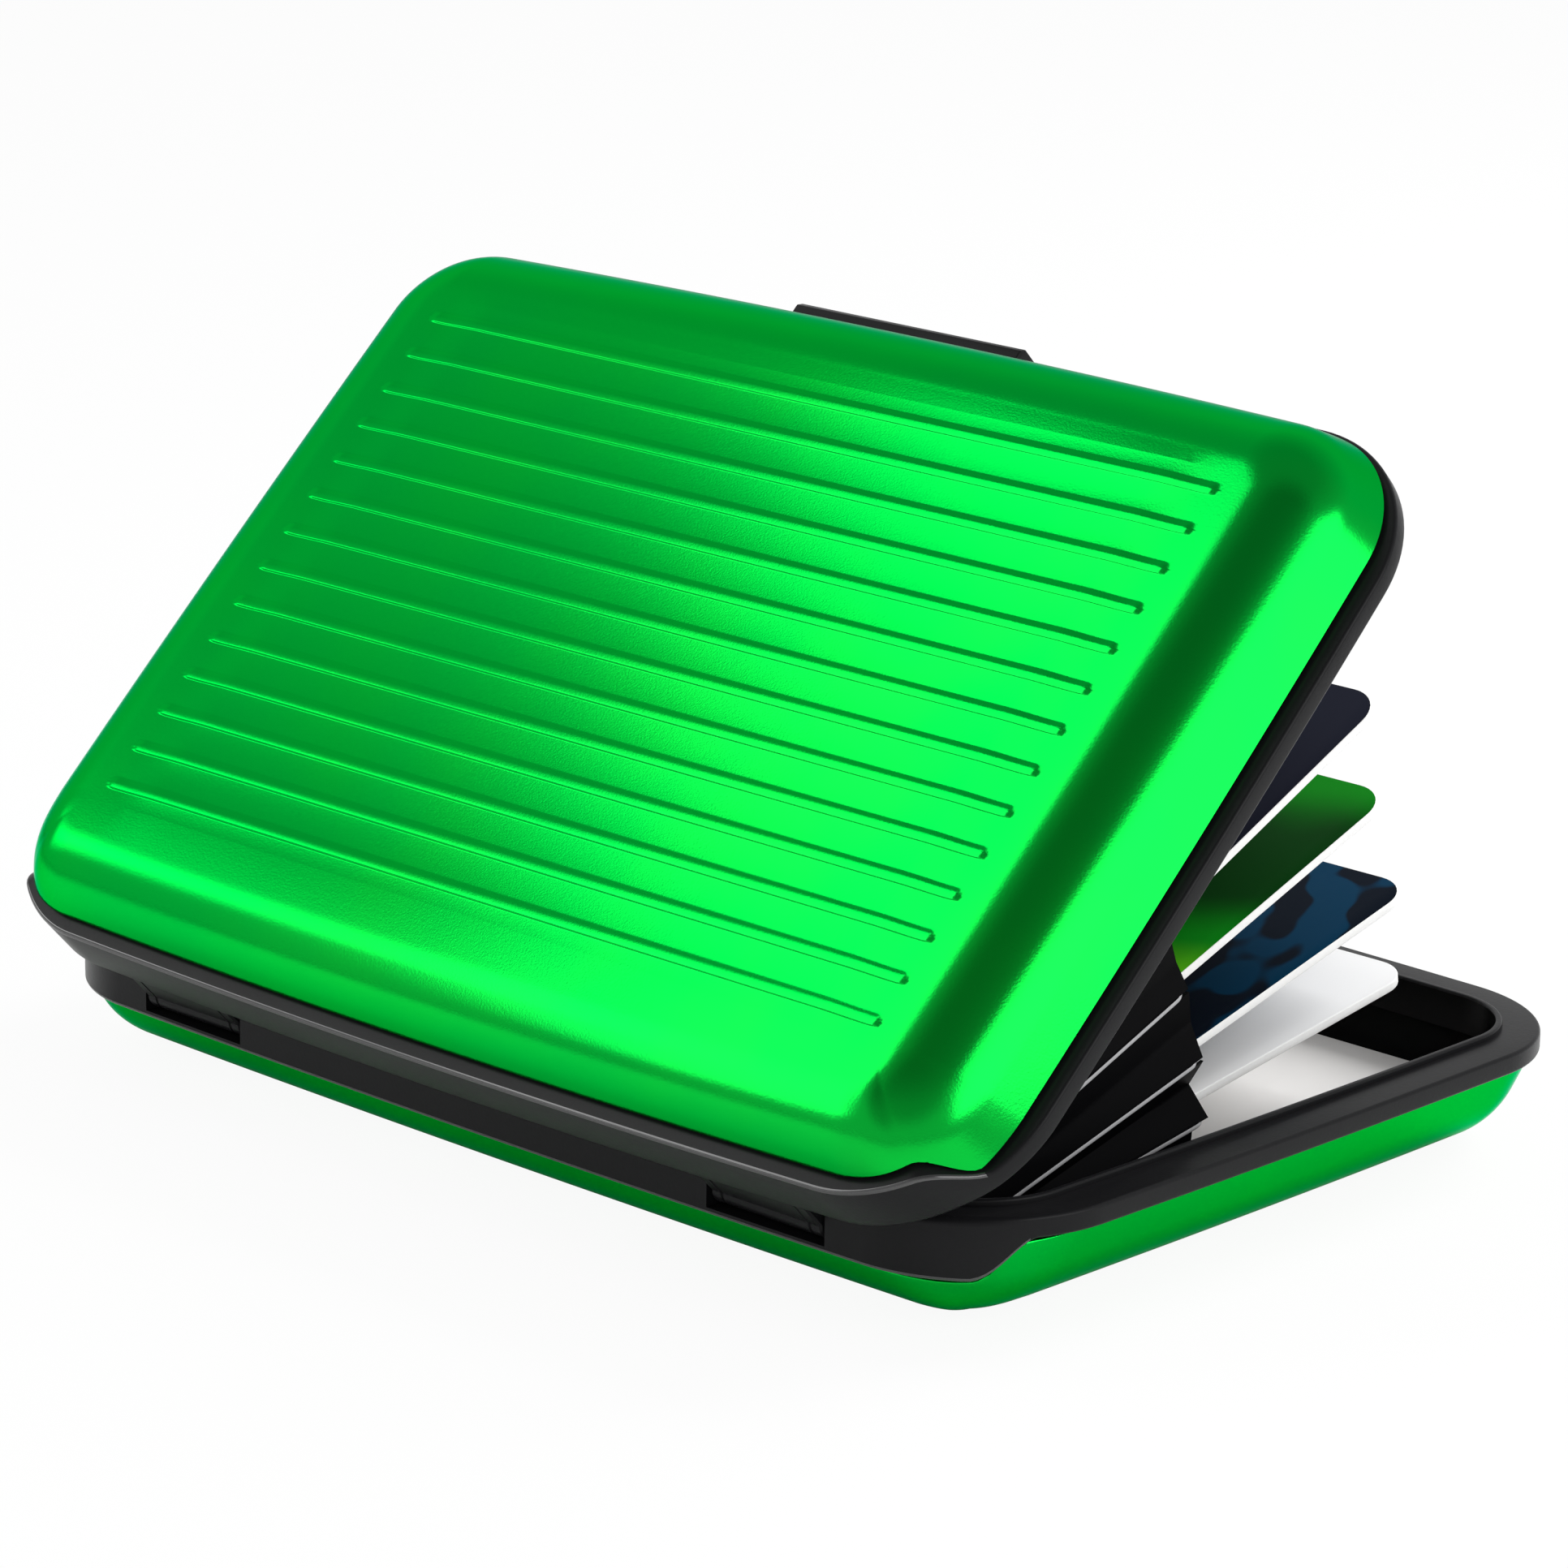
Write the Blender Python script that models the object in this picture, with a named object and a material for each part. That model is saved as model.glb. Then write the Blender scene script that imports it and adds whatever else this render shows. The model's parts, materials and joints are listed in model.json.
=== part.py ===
"""Hinged metal card holder with an accordion of pockets, open at 43 degrees with five cards inside.

Metres, +Z up. The front with the latch is +Y, the hinge is at -Y, and the base stands on its beads at z = 0.
Every point is worked out on the shut case first, in a frame whose z = 0 is the parting plane. Each body then
hangs on an empty that sits on its joint's axis and turns the body to where it stands at rest.
"""

import math

import bmesh
import bpy
from mathutils import Vector

# Cards, which set the size of the case
CARD_LENGTH = 0.0856
CARD_WIDTH = 0.05398
CARD_THICKNESS = 0.00076
CARD_CORNER = 0.00318
CARD_LIFT = 0.0001

# Case
END_ROOM = 0.0122
FRONT_ROOM = 0.01202
REAR_ROOM = 0.009
LENGTH = CARD_LENGTH + 2 * END_ROOM
DEPTH = REAR_ROOM + CARD_WIDTH + FRONT_ROOM
HALF_HEIGHT = 0.010
LID_OPEN = math.radians(43)
BOW_LONG_SIDES = 0.0010
BOW_SHORT_SIDES = 0.0005
PARTING_GAP = 0.0003
SEAT_GAP = 0.0003
OVERRUN = 0.002
# The open lid leans out behind the base, so the base stands this far forward to centre the whole on the origin
STAND_FORWARD = 0.0025

# Pressed shells
SHELL_INSET = 0.0013
SHELL_WALL = 0.0008
SHELL_CORNER = 0.010
SHELL_FILLET = 0.0079
SHELL_DRAFT = math.radians(25)
SHELL_EDGE_STRAIGHT = 0.00015
BEAD_COUNT = 14
BEAD_PITCH = 0.0038
BEAD_LENGTH = 0.0865
BEAD_WIDTH = 0.0011
BEAD_HEIGHT = 0.0004
BEAD_CREST_SHARE = 0.4
BEAD_SINK = 0.0004

# Moulded frames
FLANGE_CORNER = 0.0125
SIDE_JUNCTION = 0.0020
REAR_JUNCTION = 0.0053
STEP_START_FROM_REAR = 0.0077
STEP_END_FROM_REAR = 0.0035
FRAME_EDGE = 0.0003
FRAME_REAR_EDGE = 0.0007
SKIRT_HEIGHT = 0.0010
SKIRT_LEAN = math.radians(40)
OPENING_END_BAND = 0.0040
OPENING_FRONT_BAND = 0.0046
OPENING_REAR_BAND = 0.0039
OPENING_CORNER = 0.0072
RIM_WIDTH = 0.0006
RIM_HEIGHT = 0.0005

# Hinge
HINGE_FROM_REAR = 0.0016
HINGE_DROP = 0.0031
PIN_RADIUS = 0.00055
PIN_PLAY = 0.00015
PIN_SEAT = 0.0022
PIN_END_PLAY = 0.0003
LUG_FROM_END = 0.0225
LUG_LENGTH = 0.0114
LUG_RADIUS = 0.0012
LUG_NECK = 0.0018
LUG_ROOT = 0.0025
LUG_PLAY = 0.0003

# Latch
LATCH_CENTRE = -0.0025
LATCH_LENGTH = 0.025
LATCH_PLAY = 0.0003
LATCH_PROUD = 0.0012
LATCH_FACE = 0.0009
LATCH_DROP = 0.0019
LATCH_HOOK = 0.0006
LATCH_HOOK_REACH = 0.0009
LATCH_PIVOT_HEIGHT = 0.0010
LATCH_PIVOT_FROM_FRONT = 0.0011
LATCH_BARREL = 0.0008
LATCH_PIN_RADIUS = 0.0004
LATCH_PIN_SEAT = 0.0015
LATCH_RECESS_BACK = 0.0007
SPRING_LENGTH = 0.012
SPRING_THICKNESS = 0.0002
SPRING_BOW = 0.00025

# Accordion of pockets, from the base's lining to the lid's
DIVIDER_THICKNESS = 0.0005
DIVIDER_END_MARGIN = 0.0080
DIVIDER_REAR_MARGIN = 0.0065
DIVIDER_DEPTH = 0.0278
LINING_END_MARGIN = 0.0095
LINING_REAR_MARGIN = 0.0087
LINING_GAP = 0.0002
DIVIDER_HEIGHT_SHARES = (-1, -0.695, -0.503, -0.192, 0.192, 0.6, 1)
DIVIDER_TURN_SHARES = (0, 0.205, 0.144, 0.151, 0.096, 0.230)
FOLD_THICKNESS = 0.0003
FOLD_GAP = 0.0002
FOLD_MARGIN = 0.0001
CARD_SIDE_CLEARANCE = 0.0002
GUSSET_REAR_CLEARANCE = 0.0008
SPINE_BULGE = 0.0008
SPINE_END_CLEARANCE = 0.0006

# Cards, from the base up: how far each is pulled towards the latch and the right end, and its droop. A droop
# above zero tips the card over its divider's front edge, and one below zero lifts its front end
CARD_PULL = (0.0055, -0.0006, -0.0011, -0.0017, 0.0006)
CARD_SIDE_SHIFT = (0.0018, 0.0019, 0.0031, 0.0033, 0.0034)
CARD_DROOP_DEGREES = (-1.4, 0.3, 0.6, 1.4, 0.6)

# Counts of facets
FRONT_CORNER_STEPS = 7
REAR_CORNER_STEPS = 14
LONG_SIDE_STEPS = 6
SHORT_SIDE_STEPS = 4
FILLET_STEPS = 5
BEAD_END_STEPS = 4
CARD_CORNER_STEPS = 4
ROUND_STEPS = 16
SPRING_STEPS = 6
SMOOTH_BELOW = math.radians(30)

# Worked out from the sizes above
SKIN_HEIGHT = HALF_HEIGHT - BEAD_HEIGHT
HALF_GAP = PARTING_GAP / 2
HINGE_Y = HINGE_FROM_REAR - DEPTH / 2
HINGE_Z = -HINGE_DROP
LUG_CENTRE = LENGTH / 2 - LUG_FROM_END
LATCH_Y = DEPTH / 2 - LATCH_PIVOT_FROM_FRONT
LINING_HEIGHT = SKIN_HEIGHT - SHELL_WALL - LINING_GAP - DIVIDER_THICKNESS / 2
DIVIDER_REAR = DIVIDER_REAR_MARGIN - DEPTH / 2
DIVIDER_FRONT = DIVIDER_REAR + DIVIDER_DEPTH
WINDOW_LENGTH = LUG_LENGTH + 2 * LUG_PLAY
LATCH_NOTCH_LENGTH = LATCH_LENGTH + 2 * LATCH_PLAY
QUARTER_TURN = math.pi / 2


# Scene, materials and bodies

def clear_scene():
    for item in list(bpy.data.objects):
        bpy.data.objects.remove(item, do_unlink=True)


def finish(name, colour, roughness, metallic=0.0):
    """A Principled material in one colour."""
    material = bpy.data.materials.new(name)
    material.use_nodes = True
    shader = material.node_tree.nodes["Principled BSDF"]
    shader.inputs["Base Color"].default_value = (*colour, 1)
    shader.inputs["Roughness"].default_value = roughness
    shader.inputs["Metallic"].default_value = metallic
    return material


class Body:
    """A group of pieces that move together, on an empty whose origin lies on the joint's axis."""

    def __init__(self, name, axis_point, turn=0.0, parent=None):
        self.axis_point = Vector(axis_point)
        self.turn_in_case = turn + (parent.turn_in_case if parent else 0.0)
        self.empty = bpy.data.objects.new(name, None)
        bpy.context.scene.collection.objects.link(self.empty)
        self.empty.rotation_euler.x = turn
        if parent:
            self.empty.parent = parent.empty
            self.empty.location = self.axis_point - parent.axis_point
        else:
            self.empty.location = self.axis_point + Vector((0, STAND_FORWARD, HALF_HEIGHT))

    def add(self, name, mesh, material, helper=False):
        """An object on this body. The mesh's points lie in the shut case's frame."""
        for vertex in mesh.vertices:
            vertex.co -= self.axis_point
        item = bpy.data.objects.new(name, mesh)
        bpy.context.scene.collection.objects.link(item)
        item.parent = self.empty
        if helper:
            item.hide_render = True
            item.display_type = "WIRE"
        else:
            mesh.materials.append(material)
            mesh.shade_smooth()
            mesh.set_sharp_from_angle(angle=SMOOTH_BELOW)
        return item


def combine(item, other, operation):
    """Joins the helper to the piece, or cuts it away, with an exact Boolean."""
    step = item.modifiers.new(other.name, "BOOLEAN")
    step.object = other
    step.operation = operation
    step.solver = "EXACT"


# Meshes

def lofted(name, bands, closed=False):
    """A skin over rings of equally many points. Each band is a list of rings and becomes one closed body."""
    mesh = bpy.data.meshes.new(name)
    shape = bmesh.new()
    for rings in bands:
        rows = [[shape.verts.new(point) for point in ring] for ring in rings]
        following = rows[1:] + rows[:1] if closed else rows[1:]
        for row, after in zip(rows, following):
            for here in range(len(row)):
                there = (here + 1) % len(row)
                shape.faces.new((row[here], row[there], after[there], after[here]))
        if not closed:
            shape.faces.new(rows[0])
            shape.faces.new(rows[-1])
    bmesh.ops.recalc_face_normals(shape, faces=shape.faces)
    shape.to_mesh(mesh)
    shape.free()
    return mesh


def bar(section, start, end):
    """The two end rings of a straight bar along X whose section is a list of (y, z)."""
    return [[(x, y, z) for y, z in section] for x in (start, end)]


def rectangle(low, high):
    """A section's four corners, from its low (y, z) to its high (y, z)."""
    return [(low[0], low[1]), (high[0], low[1]), (high[0], high[1]), (low[0], high[1])]


def circle(centre, radius, start=0.0, sweep=2 * math.pi, steps=ROUND_STEPS, ends=False):
    """Points (y, z) round an arc. A full turn leaves its last point out."""
    points = []
    for step in range(steps + 1 if ends else steps):
        angle = start + sweep * step / steps
        points.append((centre[0] + radius * math.cos(angle), centre[1] + radius * math.sin(angle)))
    return points


# Plan of the case

def plan_stations():
    """Stations round a rounded rectangle: where each lies along the straight runs, and which way is out."""
    corners = ((1, 1), (-1, 1), (-1, -1), (1, -1))
    corner_steps = (FRONT_CORNER_STEPS, FRONT_CORNER_STEPS, REAR_CORNER_STEPS, REAR_CORNER_STEPS)
    stations = []
    for quarter, (run_x, run_y) in enumerate(corners):
        for step in range(corner_steps[quarter] + 1):
            angle = (quarter + step / corner_steps[quarter]) * QUARTER_TURN
            stations.append((run_x, run_y, math.cos(angle), math.sin(angle)))
        next_x, next_y = corners[(quarter + 1) % len(corners)]
        out_x, out_y = stations[-1][2:]
        side_steps = SHORT_SIDE_STEPS if quarter % 2 else LONG_SIDE_STEPS
        for step in range(1, side_steps):
            share = step / side_steps
            along_x = run_x + (next_x - run_x) * share
            along_y = run_y + (next_y - run_y) * share
            stations.append((along_x, along_y, out_x, out_y))
    return stations


STATIONS = plan_stations()


def bowed(x, y):
    """Draws the sides in towards the corners, so that all four sides bow outwards a little."""
    share_x = 2 * x / LENGTH
    share_y = 2 * y / DEPTH
    return x - share_x * share_y**2 * BOW_SHORT_SIDES, y - share_y * share_x**2 * BOW_LONG_SIDES


def plan_point(station, half_length, half_depth, corner, centre_y=0.0):
    run_x, run_y, out_x, out_y = station
    x = run_x * (half_length - corner) + out_x * corner
    y = run_y * (half_depth - corner) + out_y * corner + centre_y
    return bowed(x, y)


def flange_point(station, inset):
    return plan_point(station, LENGTH / 2 - inset, DEPTH / 2 - inset, FLANGE_CORNER - inset)


def shell_point(station, inset):
    """A point of the outline that lies this far inside the flange's edge and follows the shell's corners."""
    corner = SHELL_CORNER + SHELL_INSET - inset
    return plan_point(station, LENGTH / 2 - inset, DEPTH / 2 - inset, corner)


def opening_point(station, grow):
    """A point of the frame's opening, or of an outline this much wider than it."""
    half_length = LENGTH / 2 - OPENING_END_BAND + grow
    half_depth = (DEPTH - OPENING_FRONT_BAND - OPENING_REAR_BAND) / 2 + grow
    centre_y = (OPENING_REAR_BAND - OPENING_FRONT_BAND) / 2
    return plan_point(station, half_length, half_depth, OPENING_CORNER + grow, centre_y)


def rear_share(station):
    """0 along the front and the ends, 1 along the hinge side, with a smooth step in the rear corners."""
    from_rear = flange_point(station, 0.0)[1] + DEPTH / 2
    share = (STEP_START_FROM_REAR - from_rear) / (STEP_START_FROM_REAR - STEP_END_FROM_REAR)
    share = min(max(share, 0.0), 1.0)
    return share * share * (3 - 2 * share)


def junction_height(station):
    """How far from the parting plane the shell meets its frame."""
    return SIDE_JUNCTION + (REAR_JUNCTION - SIDE_JUNCTION) * rear_share(station)


# Shells

def shell_section(station):
    """The wall's section at one station as (inset, height) points: inside from the skin down, then outside up."""
    edge = junction_height(station) + SEAT_GAP / 2
    fillet_start = max(edge + SHELL_EDGE_STRAIGHT, SKIN_HEIGHT - SHELL_FILLET * (1 - math.sin(SHELL_DRAFT)))
    fillet = (SKIN_HEIGHT - fillet_start) / (1 - math.sin(SHELL_DRAFT))
    foot = SHELL_INSET + (fillet_start - edge) * math.tan(SHELL_DRAFT)
    outside = [(SHELL_INSET, edge)]
    inside = [(SHELL_INSET + SHELL_WALL / math.cos(SHELL_DRAFT), edge)]
    for step in range(FILLET_STEPS + 1):
        lean = SHELL_DRAFT + (QUARTER_TURN - SHELL_DRAFT) * step / FILLET_STEPS
        inset = foot + fillet * (math.cos(SHELL_DRAFT) - math.cos(lean))
        height = fillet_start + fillet * (math.sin(lean) - math.sin(SHELL_DRAFT))
        outside.append((inset, height))
        if step:
            inside.append((inset + SHELL_WALL * math.cos(lean), height - SHELL_WALL * math.sin(lean)))
    return inside[::-1] + outside


def shell_mesh(name, side):
    """One pressed shell. side is 1 for the lid and -1 for the base."""
    sections = [shell_section(station) for station in STATIONS]
    rings = []
    for level in range(len(sections[0])):
        ring = []
        for station, section in zip(STATIONS, sections):
            inset, height = section[level]
            ring.append((*shell_point(station, inset), side * height))
        rings.append(ring)
    return lofted(name, [rings])


def bead_rings(centre_y, side):
    """One bead: a long capsule with a narrower flat crest, sunk a little into the skin."""
    levels = (
        (BEAD_WIDTH / 2, SKIN_HEIGHT - BEAD_SINK),
        (BEAD_WIDTH / 2, SKIN_HEIGHT),
        (BEAD_WIDTH / 2 * (1 + BEAD_CREST_SHARE) / 2, SKIN_HEIGHT + BEAD_HEIGHT * (1 + BEAD_CREST_SHARE) / 2),
        (BEAD_WIDTH / 2 * BEAD_CREST_SHARE, SKIN_HEIGHT + BEAD_HEIGHT),
    )
    reach = (BEAD_LENGTH - BEAD_WIDTH) / 2
    rings = []
    for radius, height in levels:
        ring = []
        for end in (1, -1):
            for across, along in circle((0.0, 0.0), radius, 0.0, math.pi, BEAD_END_STEPS, ends=True):
                ring.append((end * (reach + along), centre_y + end * across, side * height))
        rings.append(ring)
    return rings


def add_shell(body, name, side, material):
    shell = body.add(name, shell_mesh(name, side), material)
    places = [(number - (BEAD_COUNT - 1) / 2) * BEAD_PITCH for number in range(BEAD_COUNT)]
    bands = [bead_rings(place, side) for place in places]
    beads = body.add(name + "_beads", lofted(name + "_beads", bands), None, helper=True)
    combine(shell, beads, "UNION")


# Frames

def frame_section(station, step_height, step_width):
    """Points of a frame's section: how each is placed in plan, and its height above the parting plane."""
    rear = rear_share(station)
    edge = FRAME_EDGE + (FRAME_REAR_EDGE - FRAME_EDGE) * rear
    bevel = edge * (1 - math.sin(QUARTER_TURN / 2))
    ledge = junction_height(station) - SEAT_GAP / 2
    foot = SHELL_INSET + SHELL_WALL / math.cos(SHELL_DRAFT) + SEAT_GAP
    crest = ledge + SKIRT_HEIGHT
    return (
        (flange_point(station, edge), HALF_GAP),
        (flange_point(station, bevel), HALF_GAP + bevel),
        (flange_point(station, 0.0), HALF_GAP + edge),
        (flange_point(station, 0.0), ledge - FRAME_EDGE),
        (flange_point(station, FRAME_EDGE), ledge),
        (shell_point(station, foot), ledge),
        (shell_point(station, foot + SKIRT_HEIGHT * math.tan(SKIRT_LEAN)), crest),
        (opening_point(station, 0.0), crest),
        (opening_point(station, 0.0), HALF_GAP + step_height),
        (opening_point(station, step_width), HALF_GAP + step_height),
        (opening_point(station, step_width), HALF_GAP),
    )


def frame_mesh(name, side, step_height, step_width):
    """A moulded ring. The step is the base's raised rim, or the lid's rebate that takes it."""
    sections = [frame_section(station, step_height, step_width) for station in STATIONS]
    rings = []
    for level in range(len(sections[0])):
        rings.append([(*section[level][0], side * section[level][1]) for section in sections])
    return lofted(name, [rings], closed=True)


def both_sides(section, centre, length):
    """Two bars with this section, one each side of the middle."""
    bands = []
    for side in (-1, 1):
        bands.append(bar(section, side * centre - length / 2, side * centre + length / 2))
    return bands


def lug_section():
    """A hinge lug: a barrel round the pin, with a neck that runs up into the lid frame's rear wall."""
    half_neck = LUG_NECK / 2
    lean = math.acos(half_neck / LUG_RADIUS)
    barrel = circle((HINGE_Y, HINGE_Z), LUG_RADIUS, math.pi - lean, math.pi + 2 * lean, ends=True)
    return barrel + [(HINGE_Y + half_neck, LUG_ROOT), (HINGE_Y - half_neck, LUG_ROOT)]


def hinge_pin_reach():
    return WINDOW_LENGTH + 2 * PIN_SEAT


def add_base_frame(body, material):
    frame = body.add("base_frame", frame_mesh("base_frame", -1, -RIM_HEIGHT, RIM_WIDTH), material)
    window = rectangle(
        (-DEPTH / 2 - OVERRUN, HINGE_Z - LUG_RADIUS - LUG_PLAY),
        (HINGE_Y + LUG_RADIUS + LUG_PLAY, OVERRUN),
    )
    windows = lofted("hinge_windows", both_sides(window, LUG_CENTRE, WINDOW_LENGTH))
    combine(frame, body.add("hinge_windows", windows, None, helper=True), "DIFFERENCE")
    bore = circle((HINGE_Y, HINGE_Z), PIN_RADIUS + PIN_PLAY)
    bores = lofted("hinge_bores", both_sides(bore, LUG_CENTRE, hinge_pin_reach() + 2 * PIN_END_PLAY))
    combine(frame, body.add("hinge_bores", bores, None, helper=True), "DIFFERENCE")
    catch_depth = DEPTH / 2 + LATCH_PROUD - LATCH_FACE - LATCH_HOOK_REACH - LATCH_PLAY
    catch = rectangle(
        (catch_depth, -SIDE_JUNCTION - OVERRUN),
        (DEPTH / 2 + OVERRUN, LATCH_HOOK + LATCH_PLAY - LATCH_DROP),
    )
    start = LATCH_CENTRE - LATCH_NOTCH_LENGTH / 2
    slot = lofted("catch_slot", [bar(catch, start, start + LATCH_NOTCH_LENGTH)])
    combine(frame, body.add("catch_slot", slot, None, helper=True), "DIFFERENCE")


def add_lid_frame(body, material):
    rebate = RIM_HEIGHT + SEAT_GAP - PARTING_GAP
    frame = body.add("lid_frame", frame_mesh("lid_frame", 1, rebate, RIM_WIDTH + SEAT_GAP), material)
    lugs = lofted("hinge_lugs", both_sides(lug_section(), LUG_CENTRE, LUG_LENGTH))
    combine(frame, body.add("hinge_lugs", lugs, None, helper=True), "UNION")
    bore = circle((HINGE_Y, HINGE_Z), PIN_RADIUS + PIN_PLAY)
    bores = lofted("lug_bores", both_sides(bore, LUG_CENTRE, WINDOW_LENGTH + 2 * LUG_PLAY))
    combine(frame, body.add("lug_bores", bores, None, helper=True), "DIFFERENCE")
    recess = rectangle(
        (LATCH_Y - LATCH_BARREL - LATCH_RECESS_BACK, -OVERRUN),
        (DEPTH / 2 + OVERRUN, SIDE_JUNCTION + SHELL_EDGE_STRAIGHT),
    )
    start = LATCH_CENTRE - LATCH_NOTCH_LENGTH / 2
    pocket = lofted("latch_recess", [bar(recess, start, start + LATCH_NOTCH_LENGTH)])
    combine(frame, body.add("latch_recess", pocket, None, helper=True), "DIFFERENCE")
    bore = circle((LATCH_Y, LATCH_PIVOT_HEIGHT), LATCH_PIN_RADIUS + PIN_PLAY)
    reach = LATCH_NOTCH_LENGTH / 2 + LATCH_PIN_SEAT + PIN_END_PLAY
    holes = lofted("latch_bores", [bar(bore, LATCH_CENTRE - reach, LATCH_CENTRE + reach)])
    combine(frame, body.add("latch_bores", holes, None, helper=True), "DIFFERENCE")


def add_hinge_pins(body, material):
    section = circle((HINGE_Y, HINGE_Z), PIN_RADIUS)
    for name, side in (("hinge_pin_left", -1), ("hinge_pin_right", 1)):
        start = side * LUG_CENTRE - hinge_pin_reach() / 2
        body.add(name, lofted(name, [bar(section, start, start + hinge_pin_reach())]), material)


# Latch

def latch_section():
    """The latch seen from its end: barrel, arm, face plate and hook, as one outline."""
    outer = DEPTH / 2 + LATCH_PROUD
    inner = outer - LATCH_FACE
    arm_top = LATCH_PIVOT_HEIGHT + LATCH_BARREL
    arm_foot = LATCH_PIVOT_HEIGHT - LATCH_BARREL
    barrel = circle(
        (LATCH_Y, LATCH_PIVOT_HEIGHT), LATCH_BARREL, QUARTER_TURN, math.pi, ROUND_STEPS // 2, ends=True
    )
    return barrel + [
        (inner, arm_foot),
        (inner, LATCH_HOOK - LATCH_DROP),
        (inner - LATCH_HOOK_REACH, LATCH_HOOK - LATCH_DROP),
        (inner - LATCH_HOOK_REACH, -LATCH_DROP),
        (outer - LATCH_FACE / 2, -LATCH_DROP),
        (outer, LATCH_FACE / 2 - LATCH_DROP),
        (outer, arm_top - LATCH_FACE / 2),
        (outer - LATCH_FACE / 2, arm_top),
    ]


def add_latch(lid, latch, plastic, steel):
    start = LATCH_CENTRE - LATCH_LENGTH / 2
    button = lofted("latch_button", [bar(latch_section(), start, start + LATCH_LENGTH)])
    button = latch.add("latch_button", button, plastic)
    bore = circle((LATCH_Y, LATCH_PIVOT_HEIGHT), LATCH_PIN_RADIUS + PIN_PLAY)
    hole = lofted("latch_hole", [bar(bore, start - OVERRUN, start + LATCH_LENGTH + OVERRUN)])
    combine(button, latch.add("latch_hole", hole, None, helper=True), "DIFFERENCE")
    section = circle((LATCH_Y, LATCH_PIVOT_HEIGHT), LATCH_PIN_RADIUS)
    reach = LATCH_NOTCH_LENGTH / 2 + LATCH_PIN_SEAT
    pin = lofted("latch_pin", [bar(section, LATCH_CENTRE - reach, LATCH_CENTRE + reach)])
    lid.add("latch_pin", pin, steel)
    back = LATCH_Y - LATCH_BARREL - LATCH_RECESS_BACK + (LATCH_RECESS_BACK - SPRING_THICKNESS - SPRING_BOW) / 2
    rings = []
    for step in range(SPRING_STEPS + 1):
        share = 2 * step / SPRING_STEPS - 1
        y = back + SPRING_BOW * (1 - share * share)
        low = LATCH_PIVOT_HEIGHT - LATCH_BARREL / 2
        high = LATCH_PIVOT_HEIGHT + LATCH_BARREL / 2
        x = LATCH_CENTRE + share * SPRING_LENGTH / 2
        rings.append([(x, y, z) for y, z in rectangle((y, low), (y + SPRING_THICKNESS, high))])
    lid.add("latch_spring", lofted("latch_spring", [rings]), steel)


# Accordion and cards

def divider_height(number):
    return DIVIDER_HEIGHT_SHARES[number] * LINING_HEIGHT


def divider_is_lining(number):
    return number in (0, len(DIVIDER_HEIGHT_SHARES) - 1)


def divider_half_length(number):
    return LENGTH / 2 - (LINING_END_MARGIN if divider_is_lining(number) else DIVIDER_END_MARGIN)


def divider_rear(number):
    return LINING_REAR_MARGIN - DEPTH / 2 if divider_is_lining(number) else DIVIDER_REAR


def add_divider(body, number, material):
    height = divider_height(number)
    half = DIVIDER_THICKNESS / 2
    section = rectangle((divider_rear(number), height - half), (DIVIDER_FRONT, height + half))
    reach = divider_half_length(number)
    name = "divider_%d" % (number + 1)
    body.add(name, lofted(name, [bar(section, -reach, reach)]), material)


def turned(point, angle):
    """The point of the shut case after a turn about the hinge axis."""
    x, y, z = point
    y, z = y - HINGE_Y, z - HINGE_Z
    cos, sin = math.cos(angle), math.sin(angle)
    return x, HINGE_Y + y * cos - z * sin, HINGE_Z + y * sin + z * cos


def pocket_heights(number):
    """Heights of the lower and the upper end of a fold, each a small gap off its divider."""
    off = DIVIDER_THICKNESS / 2 + FOLD_GAP
    return divider_height(number) + off, divider_height(number + 1) - off


def add_fold(body, name, sections, inward, material):
    """A V-shaped sheet between two sections, each of three points: its lower side, its valley and its upper side."""
    rings = [[start, end, end + inward, start + inward] for start, end in zip(*sections)]
    body.add(name, lofted(name, [rings]), material)


def valley_line(lower, upper, front_x):
    """The rear and the front end of a side fold's valley, placed so that both sheets of the fold are flat.

    lower and upper are the rear and front ends of the fold's two sides. Carried on backwards, the two sides
    meet in a point, and the valley runs towards that point.
    """
    front = (lower[1] + upper[1]) / 2
    front.x = front_x
    run = upper[1] - upper[0]
    meeting = upper[0] + run * (lower[0].z - upper[0].z) / run.z
    middle_y = (lower[0].y + upper[0].y) / 2
    return front + (meeting - front) * (middle_y - front.y) / (meeting.y - front.y), front


def valley_distance(number):
    """How far out the side folds' valleys lie: just outside the right end of the pocket's card."""
    shift = CARD_SIDE_SHIFT[number] if number < len(CARD_SIDE_SHIFT) else min(CARD_SIDE_SHIFT)
    return CARD_LENGTH / 2 + shift + CARD_SIDE_CLEARANCE + FOLD_THICKNESS


def add_gussets(body, upper_turn, number, material):
    """The two V-shaped folds that close the sides of one pocket."""
    low, high = pocket_heights(number)
    swing = upper_turn - body.turn_in_case
    reach = min(divider_half_length(number), divider_half_length(number + 1)) - FOLD_MARGIN
    ends = (DIVIDER_REAR + GUSSET_REAR_CLEARANCE, DIVIDER_FRONT - FOLD_MARGIN)
    for name, side in (("gusset_left_%d", -1), ("gusset_right_%d", 1)):
        lower = [Vector((side * reach, y, low)) for y in ends]
        upper = [Vector(turned((side * reach, y, high), swing)) for y in ends]
        valley = valley_line(lower, upper, side * valley_distance(number))
        inward = Vector((-side * FOLD_THICKNESS, 0, 0))
        add_fold(body, name % (number + 1), zip(lower, valley, upper), inward, material)


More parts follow.
